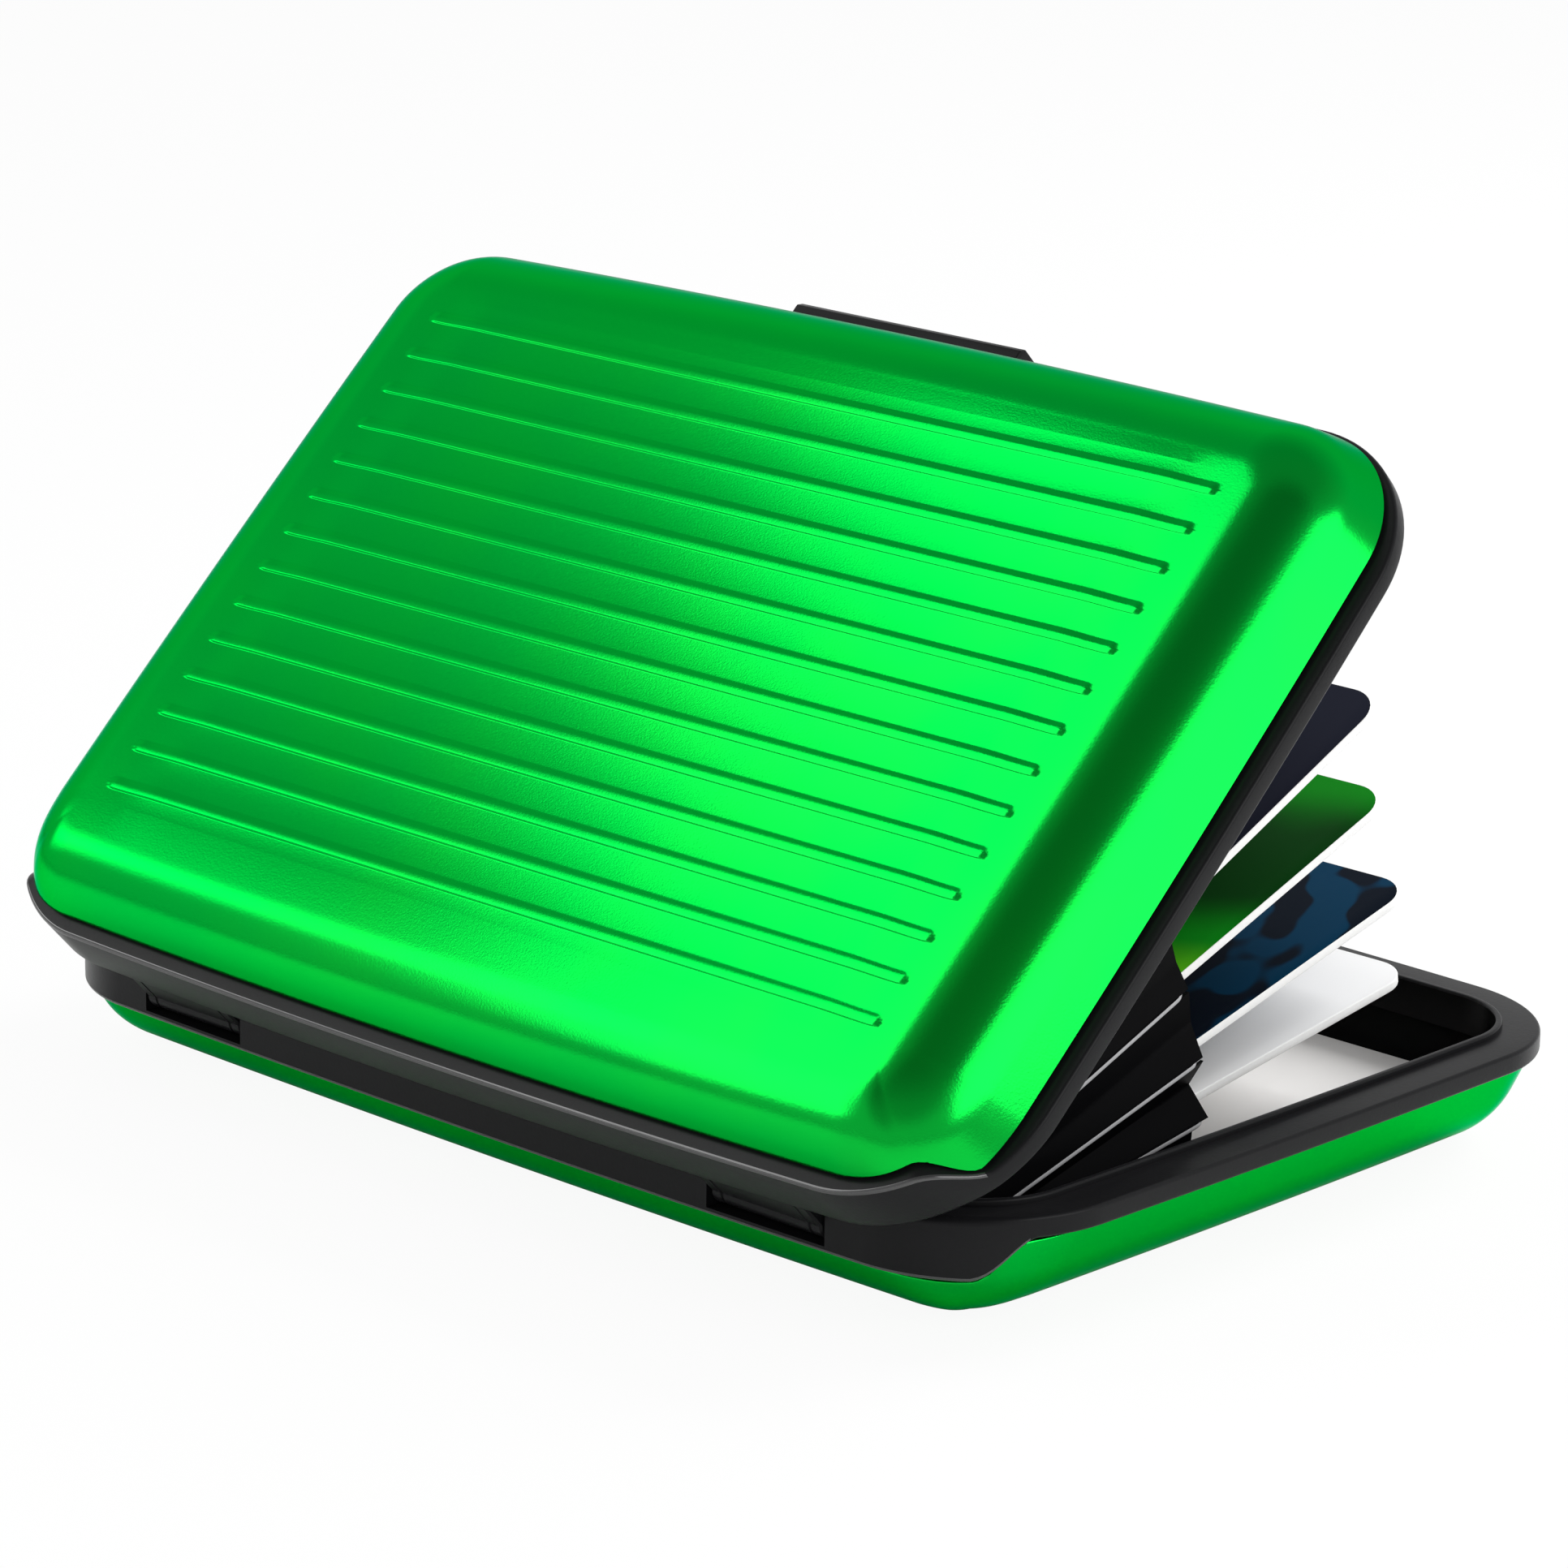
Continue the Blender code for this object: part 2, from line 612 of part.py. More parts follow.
def add_spine(body, upper_turn, number, material):
    """The fold that closes the back of one pocket."""
    low, high = pocket_heights(number)
    swing = upper_turn - body.turn_in_case
    reach = min(divider_half_length(number), divider_half_length(number + 1)) - SPINE_END_CLEARANCE
    sections = []
    for x in (-reach, reach):
        lower = Vector((x, divider_rear(number) + FOLD_MARGIN, low))
        upper = Vector(turned((x, divider_rear(number + 1) + FOLD_MARGIN, high), swing))
        valley = (lower + upper) / 2
        valley.y = min(lower.y, upper.y) - SPINE_BULGE
        sections.append((lower, valley, upper))
    add_fold(body, "spine_%d" % (number + 1), sections, Vector((0, FOLD_THICKNESS, 0)), material)


def add_card(body, number, material):
    """A standard card on its divider, with its long side along the hinge."""
    bottom = divider_height(number) + DIVIDER_THICKNESS / 2 + CARD_LIFT
    rear_y = REAR_ROOM - DEPTH / 2 + CARD_PULL[number]
    centre_y = rear_y + CARD_WIDTH / 2
    droop = math.radians(CARD_DROOP_DEGREES[number])
    tip_y = DIVIDER_FRONT if droop > 0 else rear_y
    cos, sin = math.cos(droop), math.sin(droop)
    rings = []
    for height in (0, CARD_THICKNESS):
        ring = []
        for quarter, (side_x, side_y) in enumerate(((1, 1), (-1, 1), (-1, -1), (1, -1))):
            centre = (
                CARD_SIDE_SHIFT[number] + side_x * (CARD_LENGTH / 2 - CARD_CORNER),
                centre_y + side_y * (CARD_WIDTH / 2 - CARD_CORNER),
            )
            for x, y in circle(
                centre, CARD_CORNER, quarter * QUARTER_TURN, QUARTER_TURN, CARD_CORNER_STEPS, ends=True
            ):
                out = y - tip_y
                ring.append((x, tip_y + out * cos + height * sin, bottom + height * cos - out * sin))
        rings.append(ring)
    name = "card_%d" % (number + 1)
    body.add(name, lofted(name, [rings]), material)


def main():
    clear_scene()
    green_metal = finish("green_anodised", (0.0, 0.42, 0.06), 0.3, 1.0)
    black_plastic = finish("black_plastic", (0.03, 0.03, 0.032), 0.35)
    steel = finish("steel", (0.6, 0.6, 0.6), 0.3, 1.0)
    pocket_film = finish("pocket_film", (0.01, 0.01, 0.012), 0.25)
    card_colours = (
        ("card_white", (0.9, 0.9, 0.9)),
        ("card_cream", (0.88, 0.87, 0.82)),
        ("card_blue", (0.01, 0.08, 0.18)),
        ("card_green", (0.05, 0.4, 0.06)),
        ("card_navy", (0.02, 0.03, 0.12)),
    )
    cards = [finish(name, colour, 0.3) for name, colour in card_colours]

    hinge = (0.0, HINGE_Y, HINGE_Z)
    base = Body("base_body", (0.0, 0.0, 0.0))
    lid = Body("lid_hinge", hinge, LID_OPEN, base)
    latch = Body("latch_pivot", (0.0, LATCH_Y, LATCH_PIVOT_HEIGHT), 0.0, lid)
    pockets = [base]
    for number, share in enumerate(DIVIDER_TURN_SHARES[1:], start=1):
        pockets.append(Body("pocket_fold_%d" % number, hinge, share * LID_OPEN, pockets[-1]))

    add_shell(base, "base_shell", -1, green_metal)
    add_shell(lid, "lid_shell", 1, green_metal)
    add_base_frame(base, black_plastic)
    add_lid_frame(lid, black_plastic)
    add_hinge_pins(base, steel)
    add_latch(lid, latch, black_plastic, steel)
    for number, body in enumerate(pockets + [lid]):
        add_divider(body, number, pocket_film)
    for number, (body, above) in enumerate(zip(pockets, pockets[1:] + [lid])):
        add_gussets(body, above.turn_in_case, number, pocket_film)
        add_spine(body, above.turn_in_case, number, pocket_film)
    for number, material in enumerate(cards):
        add_card(pockets[number], number, material)


main()
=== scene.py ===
# %% [markdown]
# # A hinged metal card holder
#
# Two pressed aluminium shells, dyed green, sit on black moulded frames. A hinge joins them along the back, a
# latch holds them shut at the front, and between them an accordion of black film keeps five cards apart.
#
# The construction model already has every piece at its real size. This script gives the pieces their finish
# and remakes the ones that need finer edges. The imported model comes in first, so that each piece can be placed
# by it. Every length is in metres.

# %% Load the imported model
import json
import math

import bmesh
import bpy
import numpy as np
from mathutils import Matrix, Vector

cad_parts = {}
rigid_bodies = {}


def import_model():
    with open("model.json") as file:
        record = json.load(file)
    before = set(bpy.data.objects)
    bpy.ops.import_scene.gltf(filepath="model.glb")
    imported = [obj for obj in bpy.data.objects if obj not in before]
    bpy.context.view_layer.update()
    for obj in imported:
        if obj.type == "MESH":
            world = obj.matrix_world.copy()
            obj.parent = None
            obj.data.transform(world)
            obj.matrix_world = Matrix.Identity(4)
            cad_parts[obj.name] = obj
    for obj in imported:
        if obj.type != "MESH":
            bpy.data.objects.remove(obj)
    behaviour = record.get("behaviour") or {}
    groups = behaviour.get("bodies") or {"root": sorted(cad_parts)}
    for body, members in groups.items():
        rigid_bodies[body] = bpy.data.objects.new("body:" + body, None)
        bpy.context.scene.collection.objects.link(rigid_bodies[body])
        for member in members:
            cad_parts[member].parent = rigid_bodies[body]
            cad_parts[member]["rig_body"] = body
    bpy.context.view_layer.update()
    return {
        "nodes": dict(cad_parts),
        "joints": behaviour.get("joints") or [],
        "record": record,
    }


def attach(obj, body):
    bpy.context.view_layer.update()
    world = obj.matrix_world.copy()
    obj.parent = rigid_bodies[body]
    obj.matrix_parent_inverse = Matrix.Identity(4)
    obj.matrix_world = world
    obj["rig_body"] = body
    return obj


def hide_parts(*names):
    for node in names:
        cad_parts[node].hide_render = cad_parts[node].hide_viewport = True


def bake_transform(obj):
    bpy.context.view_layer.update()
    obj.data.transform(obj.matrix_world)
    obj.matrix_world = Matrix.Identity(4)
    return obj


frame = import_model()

scene = bpy.context.scene
QUARTER_TURN = math.pi / 2

# %% [markdown]
# ## The case, shut
#
# The lid is open, which makes its points awkward to write. So each point is worked out on the shut case, in a
# frame whose z = 0 is the plane where the two halves meet, and then it is turned about the hinge to where its
# body stands. The hinge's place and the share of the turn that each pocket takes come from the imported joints.

# %% Sizes of the case
LENGTH = 0.110
DEPTH = 0.075
HALF_HEIGHT = 0.010
BOW_LONG_SIDES = 0.0010
BOW_SHORT_SIDES = 0.0005
HALF_GAP = 0.00015
SEAT_GAP = 0.0003
HINGE_FROM_REAR = 0.0016
HINGE_Y = HINGE_FROM_REAR - DEPTH / 2
HINGE_Z = -0.0031

joints = {joint["name"]: joint for joint in frame["joints"]}
hinge_point = Vector(joints["lid_hinge"]["pos_m"])
lid_open = math.radians(-joints["lid_hinge"]["range_deg"][0])
print("hinge at", tuple(round(value, 4) for value in hinge_point), "open", round(math.degrees(lid_open), 1))

# %% Turn of each body at rest
turns = {"base": 0.0, "lid": lid_open, "latch": lid_open}
for coupling in frame["record"]["behaviour"]["couplings"]:
    joint = joints[coupling["joint"]]
    turns[joint["child"]] = turns[joint["parent"]] + coupling["ratio"] * lid_open
print({body: round(math.degrees(turn), 1) for body, turn in turns.items()})


def body_matrix(body):
    """Takes a point of the shut case to where it is on this body in the open case."""
    to_hinge = Matrix.Translation((0.0, -HINGE_Y, -HINGE_Z))
    return Matrix.Translation(hinge_point) @ Matrix.Rotation(turns[body], 4, "X") @ to_hinge


def shut_box(node, lean=0.0):
    """Lowest and highest corner of a construction node, on the shut case and turned back by its own lean."""
    item = frame["nodes"][node]
    back = Matrix.Rotation(-lean, 4, "X") @ body_matrix(item["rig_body"]).inverted()
    corners = np.array([back @ vertex.co for vertex in item.data.vertices])
    return Vector(corners.min(axis=0)), Vector(corners.max(axis=0))


def lean_of(node):
    """How far a flat plate leans from its body's level, about the x axis."""
    item = frame["nodes"][node]
    widest = max(item.data.polygons, key=lambda face: face.area)
    normal = body_matrix(item["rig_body"]).inverted().to_3x3() @ widest.normal
    return math.atan2(-normal.y, normal.z) if normal.z > 0 else math.atan2(normal.y, -normal.z)


print("base frame, shut:", [tuple(round(v * 1000, 2) for v in corner) for corner in shut_box("base_frame")])

# %% [markdown]
# ## The camera
#
# The photograph looks at the hinge side and the right end from a little above. The place, the turn and the
# focal length come from matching the case's known edges, such as the rims and the beads, to the photograph.
# The frame is square, and the picture's middle is the lens's middle, so there is no shift.

# %% Camera at the photograph's angle
CAMERA_AT = (0.32992, -0.34325, 0.16438)
CAMERA_RIGHT = (0.7193369, 0.6945643, 0.0116155)
CAMERA_UP = (-0.2019825, 0.1931293, 0.9601584)
CAMERA_BACK = (0.6646484, -0.6930235, 0.2792148)
FOCAL_PIXELS = 7544.3
IMAGE_PIXELS = 1932
SENSOR_WIDTH = 36.0

camera_data = bpy.data.cameras.new("camera")
camera_data.sensor_width = SENSOR_WIDTH
camera_data.lens = FOCAL_PIXELS / IMAGE_PIXELS * SENSOR_WIDTH
camera_data.clip_start = 0.01
camera = bpy.data.objects.new("camera", camera_data)
scene.collection.objects.link(camera)
camera.matrix_world = Matrix.Translation(CAMERA_AT) @ Matrix(
    [CAMERA_RIGHT, CAMERA_UP, CAMERA_BACK]
).transposed().to_4x4()
scene.camera = camera
scene.view_settings.view_transform = "Standard"
print("lens", round(camera_data.lens, 1), "mm")

# %% [markdown]
# ## Node trees written as sums
#
# Shader and geometry trees are easier to read as expressions than as lists of links. `Wire` is an output
# socket that Python's operators work on. `Tree` adds any other node, with its settings first and then the
# values or wires of its sockets.

# %% Wires and trees
def operator(operation, flipped=False):
    """A method that adds one Math node for a wire and another wire or number."""

    def method(wire, other):
        return wire.tree.math(operation, *((other, wire) if flipped else (wire, other)))

    return method


class Wire:
    """An output socket. Each operator on it adds one Math node to its tree."""

    __add__, __radd__ = operator("ADD"), operator("ADD", flipped=True)
    __sub__, __rsub__ = operator("SUBTRACT"), operator("SUBTRACT", flipped=True)
    __mul__, __rmul__ = operator("MULTIPLY"), operator("MULTIPLY", flipped=True)
    __truediv__ = operator("DIVIDE")
    __pow__ = operator("POWER")

    def __init__(self, tree, socket):
        self.tree = tree
        self.socket = socket

    def __abs__(self):
        return self.tree.math("ABSOLUTE", self)


class Tree:
    """A node tree, and the means to add to it."""

    def __init__(self, nodes_and_links):
        self.group = nodes_and_links

    def put(self, socket, value):
        """Links a wire to an input socket, or sets the socket's own value."""
        if isinstance(value, Wire):
            self.group.links.new(value.socket, socket)
        elif value is not None:
            socket.default_value = value

    def add(self, kind, settings=None, inputs=None, output=0):
        """A node of this kind. inputs maps a socket's name or number to a value or a wire."""
        node = self.group.nodes.new(kind)
        for name, value in (settings or {}).items():
            setattr(node, name, value)
        for name, value in (inputs or {}).items():
            self.put(node.inputs[name], value)
        return Wire(self, node.outputs[output]) if len(node.outputs) else node

    def math(self, operation, *values):
        return self.add("ShaderNodeMath", {"operation": operation}, dict(enumerate(values)))

    def ramp(self, value, start, end, low=0.0, high=1.0, kind="LINEAR"):
        """A straight slope between two values, level on both sides of it."""
        ends = {"From Min": start, "From Max": end, "To Min": low, "To Max": high}
        return self.add("ShaderNodeMapRange", {"interpolation_type": kind}, {"Value": value, **ends})

    def ease(self, value, start, end, low=0.0, high=1.0):
        """The same, with a smooth step in place of the slope."""
        return self.ramp(value, start, end, low, high, "SMOOTHSTEP")

    def xyz(self, vector):
        """The three numbers of a vector, as wires."""
        node = self.group.nodes.new("ShaderNodeSeparateXYZ")
        self.put(node.inputs[0], vector)
        return [Wire(self, socket) for socket in node.outputs]


print("wires and trees are ready")

# %% [markdown]
# ## Finishes
#
# A finish is a Principled material whose colour, roughness and bump change a little over the surface. `Finish`
# starts one. Its patterns read Object coordinates, which stay with the piece when it moves, or a UV map where
# the pattern belongs to a flat sheet such as a card.

# %% A finish and its patterns
class Finish(Tree):
    """A material in the making."""

    def __init__(self, name):
        self.material = bpy.data.materials.new(name)
        self.material.use_nodes = True
        super().__init__(self.material.node_tree)
        self.principled = self.group.nodes["Principled BSDF"]

    def place(self, uv=False):
        """The coordinates that the patterns read."""
        return self.add("ShaderNodeTexCoord", {}, {}, "UV" if uv else "Object")

    def mapped(self, vector, scale, turn=(0, 0, 0)):
        return self.add("ShaderNodeMapping", {}, {"Vector": vector, "Scale": scale, "Rotation": turn})

    def noise(self, vector, scale, detail=2.0, roughness=0.5):
        sizes = {"Scale": scale, "Detail": detail, "Roughness": roughness}
        return self.add("ShaderNodeTexNoise", {}, {"Vector": vector, **sizes}, "Fac")

    def blend(self, factor, first, second):
        """A mix of two colours. Each is a wire or three numbers."""
        node = self.group.nodes.new("ShaderNodeMix")
        node.data_type = "RGBA"
        sockets = [socket for socket in node.inputs if socket.enabled]
        for socket, value in zip(sockets, (factor, first, second)):
            self.put(socket, (*value, 1.0) if isinstance(value, tuple) else value)
        return Wire(self, next(socket for socket in node.outputs if socket.enabled))

    def bump(self, height, distance, strength=1.0):
        return self.add("ShaderNodeBump", {}, {"Height": height, "Distance": distance, "Strength": strength})

    def wear(self, **values):
        """Sets the shader's sockets. Underscores in a name stand for spaces."""
        for name, value in values.items():
            socket = self.principled.inputs[name.replace("_", " ")]
            self.put(socket, (*value, 1.0) if isinstance(value, tuple) and len(value) == 3 else value)
        return self.material


print("finishes can be made")

# %% [markdown]
# ### Green anodised aluminium
#
# The oxide on the sheet is dyed and clear, so the metal under it gives the colour and the shine. That is a
# metallic shader with a green base colour. The sheet was blasted with fine beads before it was dyed, which
# leaves a satin grain: a little roughness and a bump far below a tenth of a millimetre. The clear top of the
# oxide pales what the metal mirrors edge-on, which the shader's specular tint stands for.

# %% Green anodised aluminium
DYED_GREEN = (0.005, 0.53, 0.042)
DEEP_GREEN = (0.003, 0.49, 0.046)
EDGE_TINT = (0.12, 0.75, 0.5)
BLAST_SCALE = 5200.0
CLOUD_SCALE = 45.0

satin = Finish("green anodised aluminium")
at = satin.place()
clouds = satin.noise(at, CLOUD_SCALE, 3.0)
grain = satin.noise(at, BLAST_SCALE, 2.0, 0.6)
green_metal = satin.wear(
    Base_Color=satin.blend(satin.ease(clouds, 0.35, 0.65), DYED_GREEN, DEEP_GREEN),
    Metallic=1.0,
    Roughness=0.14 + 0.04 * clouds + 0.04 * grain,
    Specular_Tint=EDGE_TINT,
    Normal=satin.bump(grain, 0.00002, 0.35),
)
print(green_metal.name)

# %% [markdown]
# ### Black plastics, film and steel
#
# The frames and the latch are moulded in black plastic with a fine spark-eroded texture. Along the hinge's ledges
# the edge is glossier, and painted a lighter grey as a painted highlight of the line of light it catches. The
# inside of each shell and of each frame's opening is lacquered black. The accordion is cut from black film, and
# its cut edge is painted a paler grey, a painted highlight of the light it catches. The pins are drawn steel.

# %% Black plastics
def black_finish(name, colour, roughness, texture_scale, texture_depth, shine=0.3):
    """A black moulding or lacquer with a fine texture and a slow unevenness of its shine."""
    finish = Finish(name)
    at = finish.place()
    texture = finish.noise(at, texture_scale, 2.0, 0.55)
    drift = finish.noise(at, 60.0, 2.0)
    darker = tuple(value * 0.8 for value in colour)
    return finish.wear(
        Base_Color=finish.blend(drift, colour, darker),
        Roughness=roughness + 0.08 * (drift - 0.5) + 0.05 * (texture - 0.5),
        Specular_IOR_Level=shine,
        Normal=finish.bump(texture, texture_depth, 0.4),
    )


black_plastic = black_finish("black moulded plastic", (0.009, 0.009, 0.010), 0.34, 3200.0, 0.00002, 0.14)
black_lacquer = black_finish("black lacquer", (0.002, 0.002, 0.0022), 0.3, 1500.0, 0.00001, 0.04)
black_film = black_finish("black pocket film", (0.002, 0.002, 0.0024), 0.42, 260.0, 0.00008, 0.03)
# Pale grey on the film's cut edge: a painted highlight of the light that edge catches
film_edge_painted_highlight = black_finish("cut edge of the film", (0.42, 0.42, 0.43), 0.4, 3000.0, 0.00001)
# Glossier than the plastic, and painted a lighter grey: a painted highlight along the hinge's ledges
glossy_edge_painted_highlight = black_finish("rubbed edge of the plastic", (0.03, 0.03, 0.031), 0.14, 3000.0, 0.000004, 1.0)
print("black plastic, lacquer, film and its cut edge")

# %% Drawn steel
drawn = Finish("drawn steel")
at = drawn.mapped(drawn.place(), scale=(0.02, 1, 1))
lines = drawn.noise(at, 9000.0, 2.0)
drawn_steel = drawn.wear(
    Base_Color=drawn.blend(lines, (0.60, 0.60, 0.61), (0.48, 0.48, 0.49)),
    Metallic=1.0,
    Roughness=0.22 + 0.15 * lines,
    Normal=drawn.bump(lines, 0.00001, 0.3),
)
print(drawn_steel.name)

# %% [markdown]
# ### Printed cards
#
# A card is white plastic with a thin printed and laminated face. The five prints here are generic: washes of
# colour with soft shapes, and no lettering. The white print also carries painted shade from its pocket, and the
# green one a painted highlight where it leaves its pocket. Each is drawn in the card's own UV map, which runs
# from 0 to 1 along the card's length and width, so the print stays with the card when its pocket turns.

# %% A card's lamination
def printed_card(name, paint):
    """A laminated print. paint takes the finish and its UV wires and returns the colour."""
    finish = Finish(name)
    along, across, _ = finish.xyz(finish.place(uv=True))
    film = finish.noise(finish.place(), 900.0, 2.0)
    return finish.wear(
        Base_Color=paint(finish, along, across),
        Roughness=0.42 + 0.06 * (film - 0.5),
        Specular_IOR_Level=0.02,
        Normal=finish.bump(film, 0.000006, 0.3),
    )


# %% The five prints
def white_print_painted_shade(finish, along, across):
    # Painted shade: the print is darker than the core, and darker still towards one corner, as shade from the
    # pocket
    shade = finish.ease(along, 0.55, 1.0) * finish.ease(across, 0.9, 0.1)
    return finish.blend(shade * 0.5, (0.74, 0.73, 0.72), (0.48, 0.47, 0.46))


def cream_print(finish, along, across):
    tint = finish.ease(along, 0.88, 0.62) * finish.ease(across, 0.95, 0.45)
    return finish.blend(tint, (0.90, 0.90, 0.90), (0.80, 0.76, 0.62))


def blue_print(finish, along, across):
    """Dark blue, with soft-edged pools of a brighter blue and darker bars between them."""
    uv = finish.mapped(finish.place(uv=True), scale=(16.0, 8.0, 1.0), turn=(0, 0, 0.7))
    pools = finish.noise(uv, 1.0, 1.0)
    bars = finish.math("SINE", (along * 8.0 + across * 3.0) * 9.0)
    blue = finish.blend(finish.ease(across, 0.2, 0.95), (0.001, 0.010, 0.024), (0.001, 0.034, 0.080))
    dark = finish.ease(pools + bars * 0.08, 0.47, 0.53)
    return finish.blend(dark * 0.9, blue, (0.003, 0.003, 0.006))


def green_print_painted_highlight(finish, along, across):
    """Leaf green with one darker band across it, and a painted highlight of yellow-green where the card leaves
    its pocket.
    """
    uv = finish.mapped(finish.place(uv=True), scale=(3.4, 2.2, 1.0), turn=(0, 0, 0.5))
    where = across + 0.22 * (finish.noise(uv, 1.6, 1.0) - 0.5)
    dark_band = finish.ease(where, 0.60, 0.74) * finish.ease(where, 0.96, 0.84)
    leaf = finish.blend(dark_band * 0.9, (0.005, 0.24, 0.010), (0.004, 0.028, 0.006))
    # Painted highlight: yellow-green light where the card leaves its pocket
    return finish.blend(finish.ease(where, 0.60, 0.52), leaf, (0.10, 0.48, 0.01))


def navy_print(finish, along, across):
    drift = finish.noise(finish.mapped(finish.place(uv=True), scale=(2.0, 1.5, 1.0)), 1.5, 2.0)
    return finish.blend(
        finish.ease(across + (drift - 0.5) * 0.2, 0.35, 0.95), (0.006, 0.006, 0.012), (0.018, 0.020, 0.034)
    )


card_prints = {
    "card_1": ("card_white", white_print_painted_shade),
    "card_2": ("card_cream", cream_print),
    "card_3": ("card_blue", blue_print),
    "card_4": ("card_green", green_print_painted_highlight),
    "card_5": ("card_navy", navy_print),
}
print("prints:", ", ".join(slot for slot, paint in card_prints.values()))

# %% The cards' white core
core = Finish("card core")
fibres = core.noise(core.place(), 2500.0, 2.0)
card_core = core.wear(
    Base_Color=core.blend(fibres, (0.86, 0.86, 0.85), (0.78, 0.78, 0.77)),
    Roughness=0.5 + 0.1 * (fibres - 0.5),
    Normal=core.bump(fibres, 0.00001, 0.3),
)
print(card_core.name)

# %% [markdown]
# ## From points to pieces
#
# Most pieces here are skins drawn over rings of points. `lofted` makes such a skin from rings of equally many
# points, and `finished` turns it to its body's place, shades it, puts it on its body and hides the construction
# node that it stands for. A finished piece sits at the origin with its place in its mesh, as the construction's
# own nodes do.

# %% Skins and finished pieces
SHARP_FROM = math.radians(32)


def lofted(shape, rings, closed=False, capped=True):
    """Adds a skin over these rings to a bmesh and returns its rows of vertices."""
    rows = [[shape.verts.new(point) for point in ring] for ring in rings]
    following = rows[1:] + rows[:1] if closed else rows[1:]
    for row, after in zip(rows, following):
        for here in range(len(row)):
            there = (here + 1) % len(row)
            shape.faces.new((row[here], row[there], after[there], after[here]))
    if capped and not closed:
        shape.faces.new(rows[0])
        shape.faces.new(rows[-1])
    return rows


def mesh_of(shape, name, outward=True):
    """Turns a bmesh into a mesh, with its faces pointing outwards."""
    if outward:
        bmesh.ops.recalc_face_normals(shape, faces=shape.faces)
    mesh = bpy.data.meshes.new(name)
    shape.to_mesh(mesh)
    shape.free()
    return mesh


def linked(name, mesh, *materials):
    """An object for a mesh, with these materials in its slots."""
    item = bpy.data.objects.new(name, mesh)
    scene.collection.objects.link(item)
    for material in materials:
        mesh.materials.append(material)
    return item


def baked(item):
    """Puts what an object's modifiers make of its mesh in the mesh's place, and returns it."""
    graph = bpy.context.evaluated_depsgraph_get()
    mesh = bpy.data.meshes.new_from_object(item.evaluated_get(graph))
    item.modifiers.clear()
    item.data = mesh
    return mesh


def finished(item, body, node):
    """A rigid piece: it is put where its body stands, rides on the body and stands for a construction node."""
    mesh = baked(item)
    mesh.transform(body_matrix(body))
    mesh.shade_smooth()
    mesh.set_sharp_from_angle(angle=SHARP_FROM)
    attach(item, body)
    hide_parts(node)
    points = np.array([vertex.co for vertex in mesh.vertices])
    size = (points.max(axis=0) - points.min(axis=0)) * 1000
    print(item.name, len(mesh.polygons), "faces", [round(float(side), 1) for side in size], "mm")


def cut(item, cutter, operation="DIFFERENCE"):
    """An exact Boolean with a helper piece, which is removed once the result is in the mesh."""
    step = item.modifiers.new("cut", "BOOLEAN")
    step.object = cutter
    step.operation = operation
    step.solver = "EXACT"
    baked(item)
    bpy.data.objects.remove(cutter)


def quarter_round(radius, steps):
    """How far each point of a rounded edge stands off its two faces, from one face to the other."""
    for step in range(steps + 1):
        angle = QUARTER_TURN * step / max(steps, 1)
        yield radius * (1 - math.cos(angle)), radius * (1 - math.sin(angle))


print("helpers are ready")

# %% [markdown]
# ## The plan of the case
#
# Seen from above, the case is a rectangle with round corners whose four sides bow outwards a little. Every
# ring of every shell and frame follows that outline, further in or further out. So the outline is described
# once, as stations: each says which corner's centre it hangs from and which way is out.

# %% Stations round the plan
FRONT_CORNER_STEPS = 24
REAR_CORNER_STEPS = 36
LONG_SIDE_STEPS = 36
SHORT_SIDE_STEPS = 24


def plan_stations():
    corners = ((1, 1), (-1, 1), (-1, -1), (1, -1))
    corner_steps = (FRONT_CORNER_STEPS, FRONT_CORNER_STEPS, REAR_CORNER_STEPS, REAR_CORNER_STEPS)
    stations = []
    for quarter, (run_x, run_y) in enumerate(corners):
        for step in range(corner_steps[quarter] + 1):
            angle = (quarter + step / corner_steps[quarter]) * QUARTER_TURN
            stations.append((run_x, run_y, math.cos(angle), math.sin(angle)))
        next_x, next_y = corners[(quarter + 1) % len(corners)]
        out_x, out_y = stations[-1][2:]
        side_steps = SHORT_SIDE_STEPS if quarter % 2 else LONG_SIDE_STEPS
        for step in range(1, side_steps):
            share = step / side_steps
            along_x = run_x + (next_x - run_x) * share
            along_y = run_y + (next_y - run_y) * share
            stations.append((along_x, along_y, out_x, out_y))
    return stations


STATIONS = plan_stations()
print(len(STATIONS), "stations")

# %% Outlines at the stations
FLANGE_CORNER = 0.0125
SHELL_INSET = 0.0013
SHELL_CORNER = 0.010
OPENING_END_BAND = 0.0040
OPENING_FRONT_BAND = 0.0046
OPENING_REAR_BAND = 0.0039
OPENING_CORNER = 0.0072
FRONT_TRIM = 0.0004
FRONT_SWELL = 0.0003


def plan_point(station, half_length, half_depth, corner, centre_y=0.0):
    run_x, run_y, out_x, out_y = station
    x = run_x * (half_length - corner) + out_x * corner
    y = run_y * (half_depth - corner) + out_y * corner + centre_y
    share_x, share_y = 2 * x / LENGTH, 2 * y / DEPTH
    return x - share_x * share_y**2 * BOW_SHORT_SIDES, y - share_y * share_x**2 * BOW_LONG_SIDES


def flange_point(station, inset):
    """This far inside the frame's outer edge, which is trimmed a little along the front."""
    x, y = plan_point(station, LENGTH / 2 - inset, DEPTH / 2 - inset, FLANGE_CORNER - inset)
    return x, y - FRONT_TRIM * max(station[3], 0.0) ** 2


def shell_point(station, inset):
    """This far inside the frame's edge, but following the shell's own corners and its fuller front."""
    corner = SHELL_CORNER + SHELL_INSET - inset
    x, y = plan_point(station, LENGTH / 2 - inset, DEPTH / 2 - inset, corner)
    return x, y + FRONT_SWELL * max(station[3], 0.0) ** 2


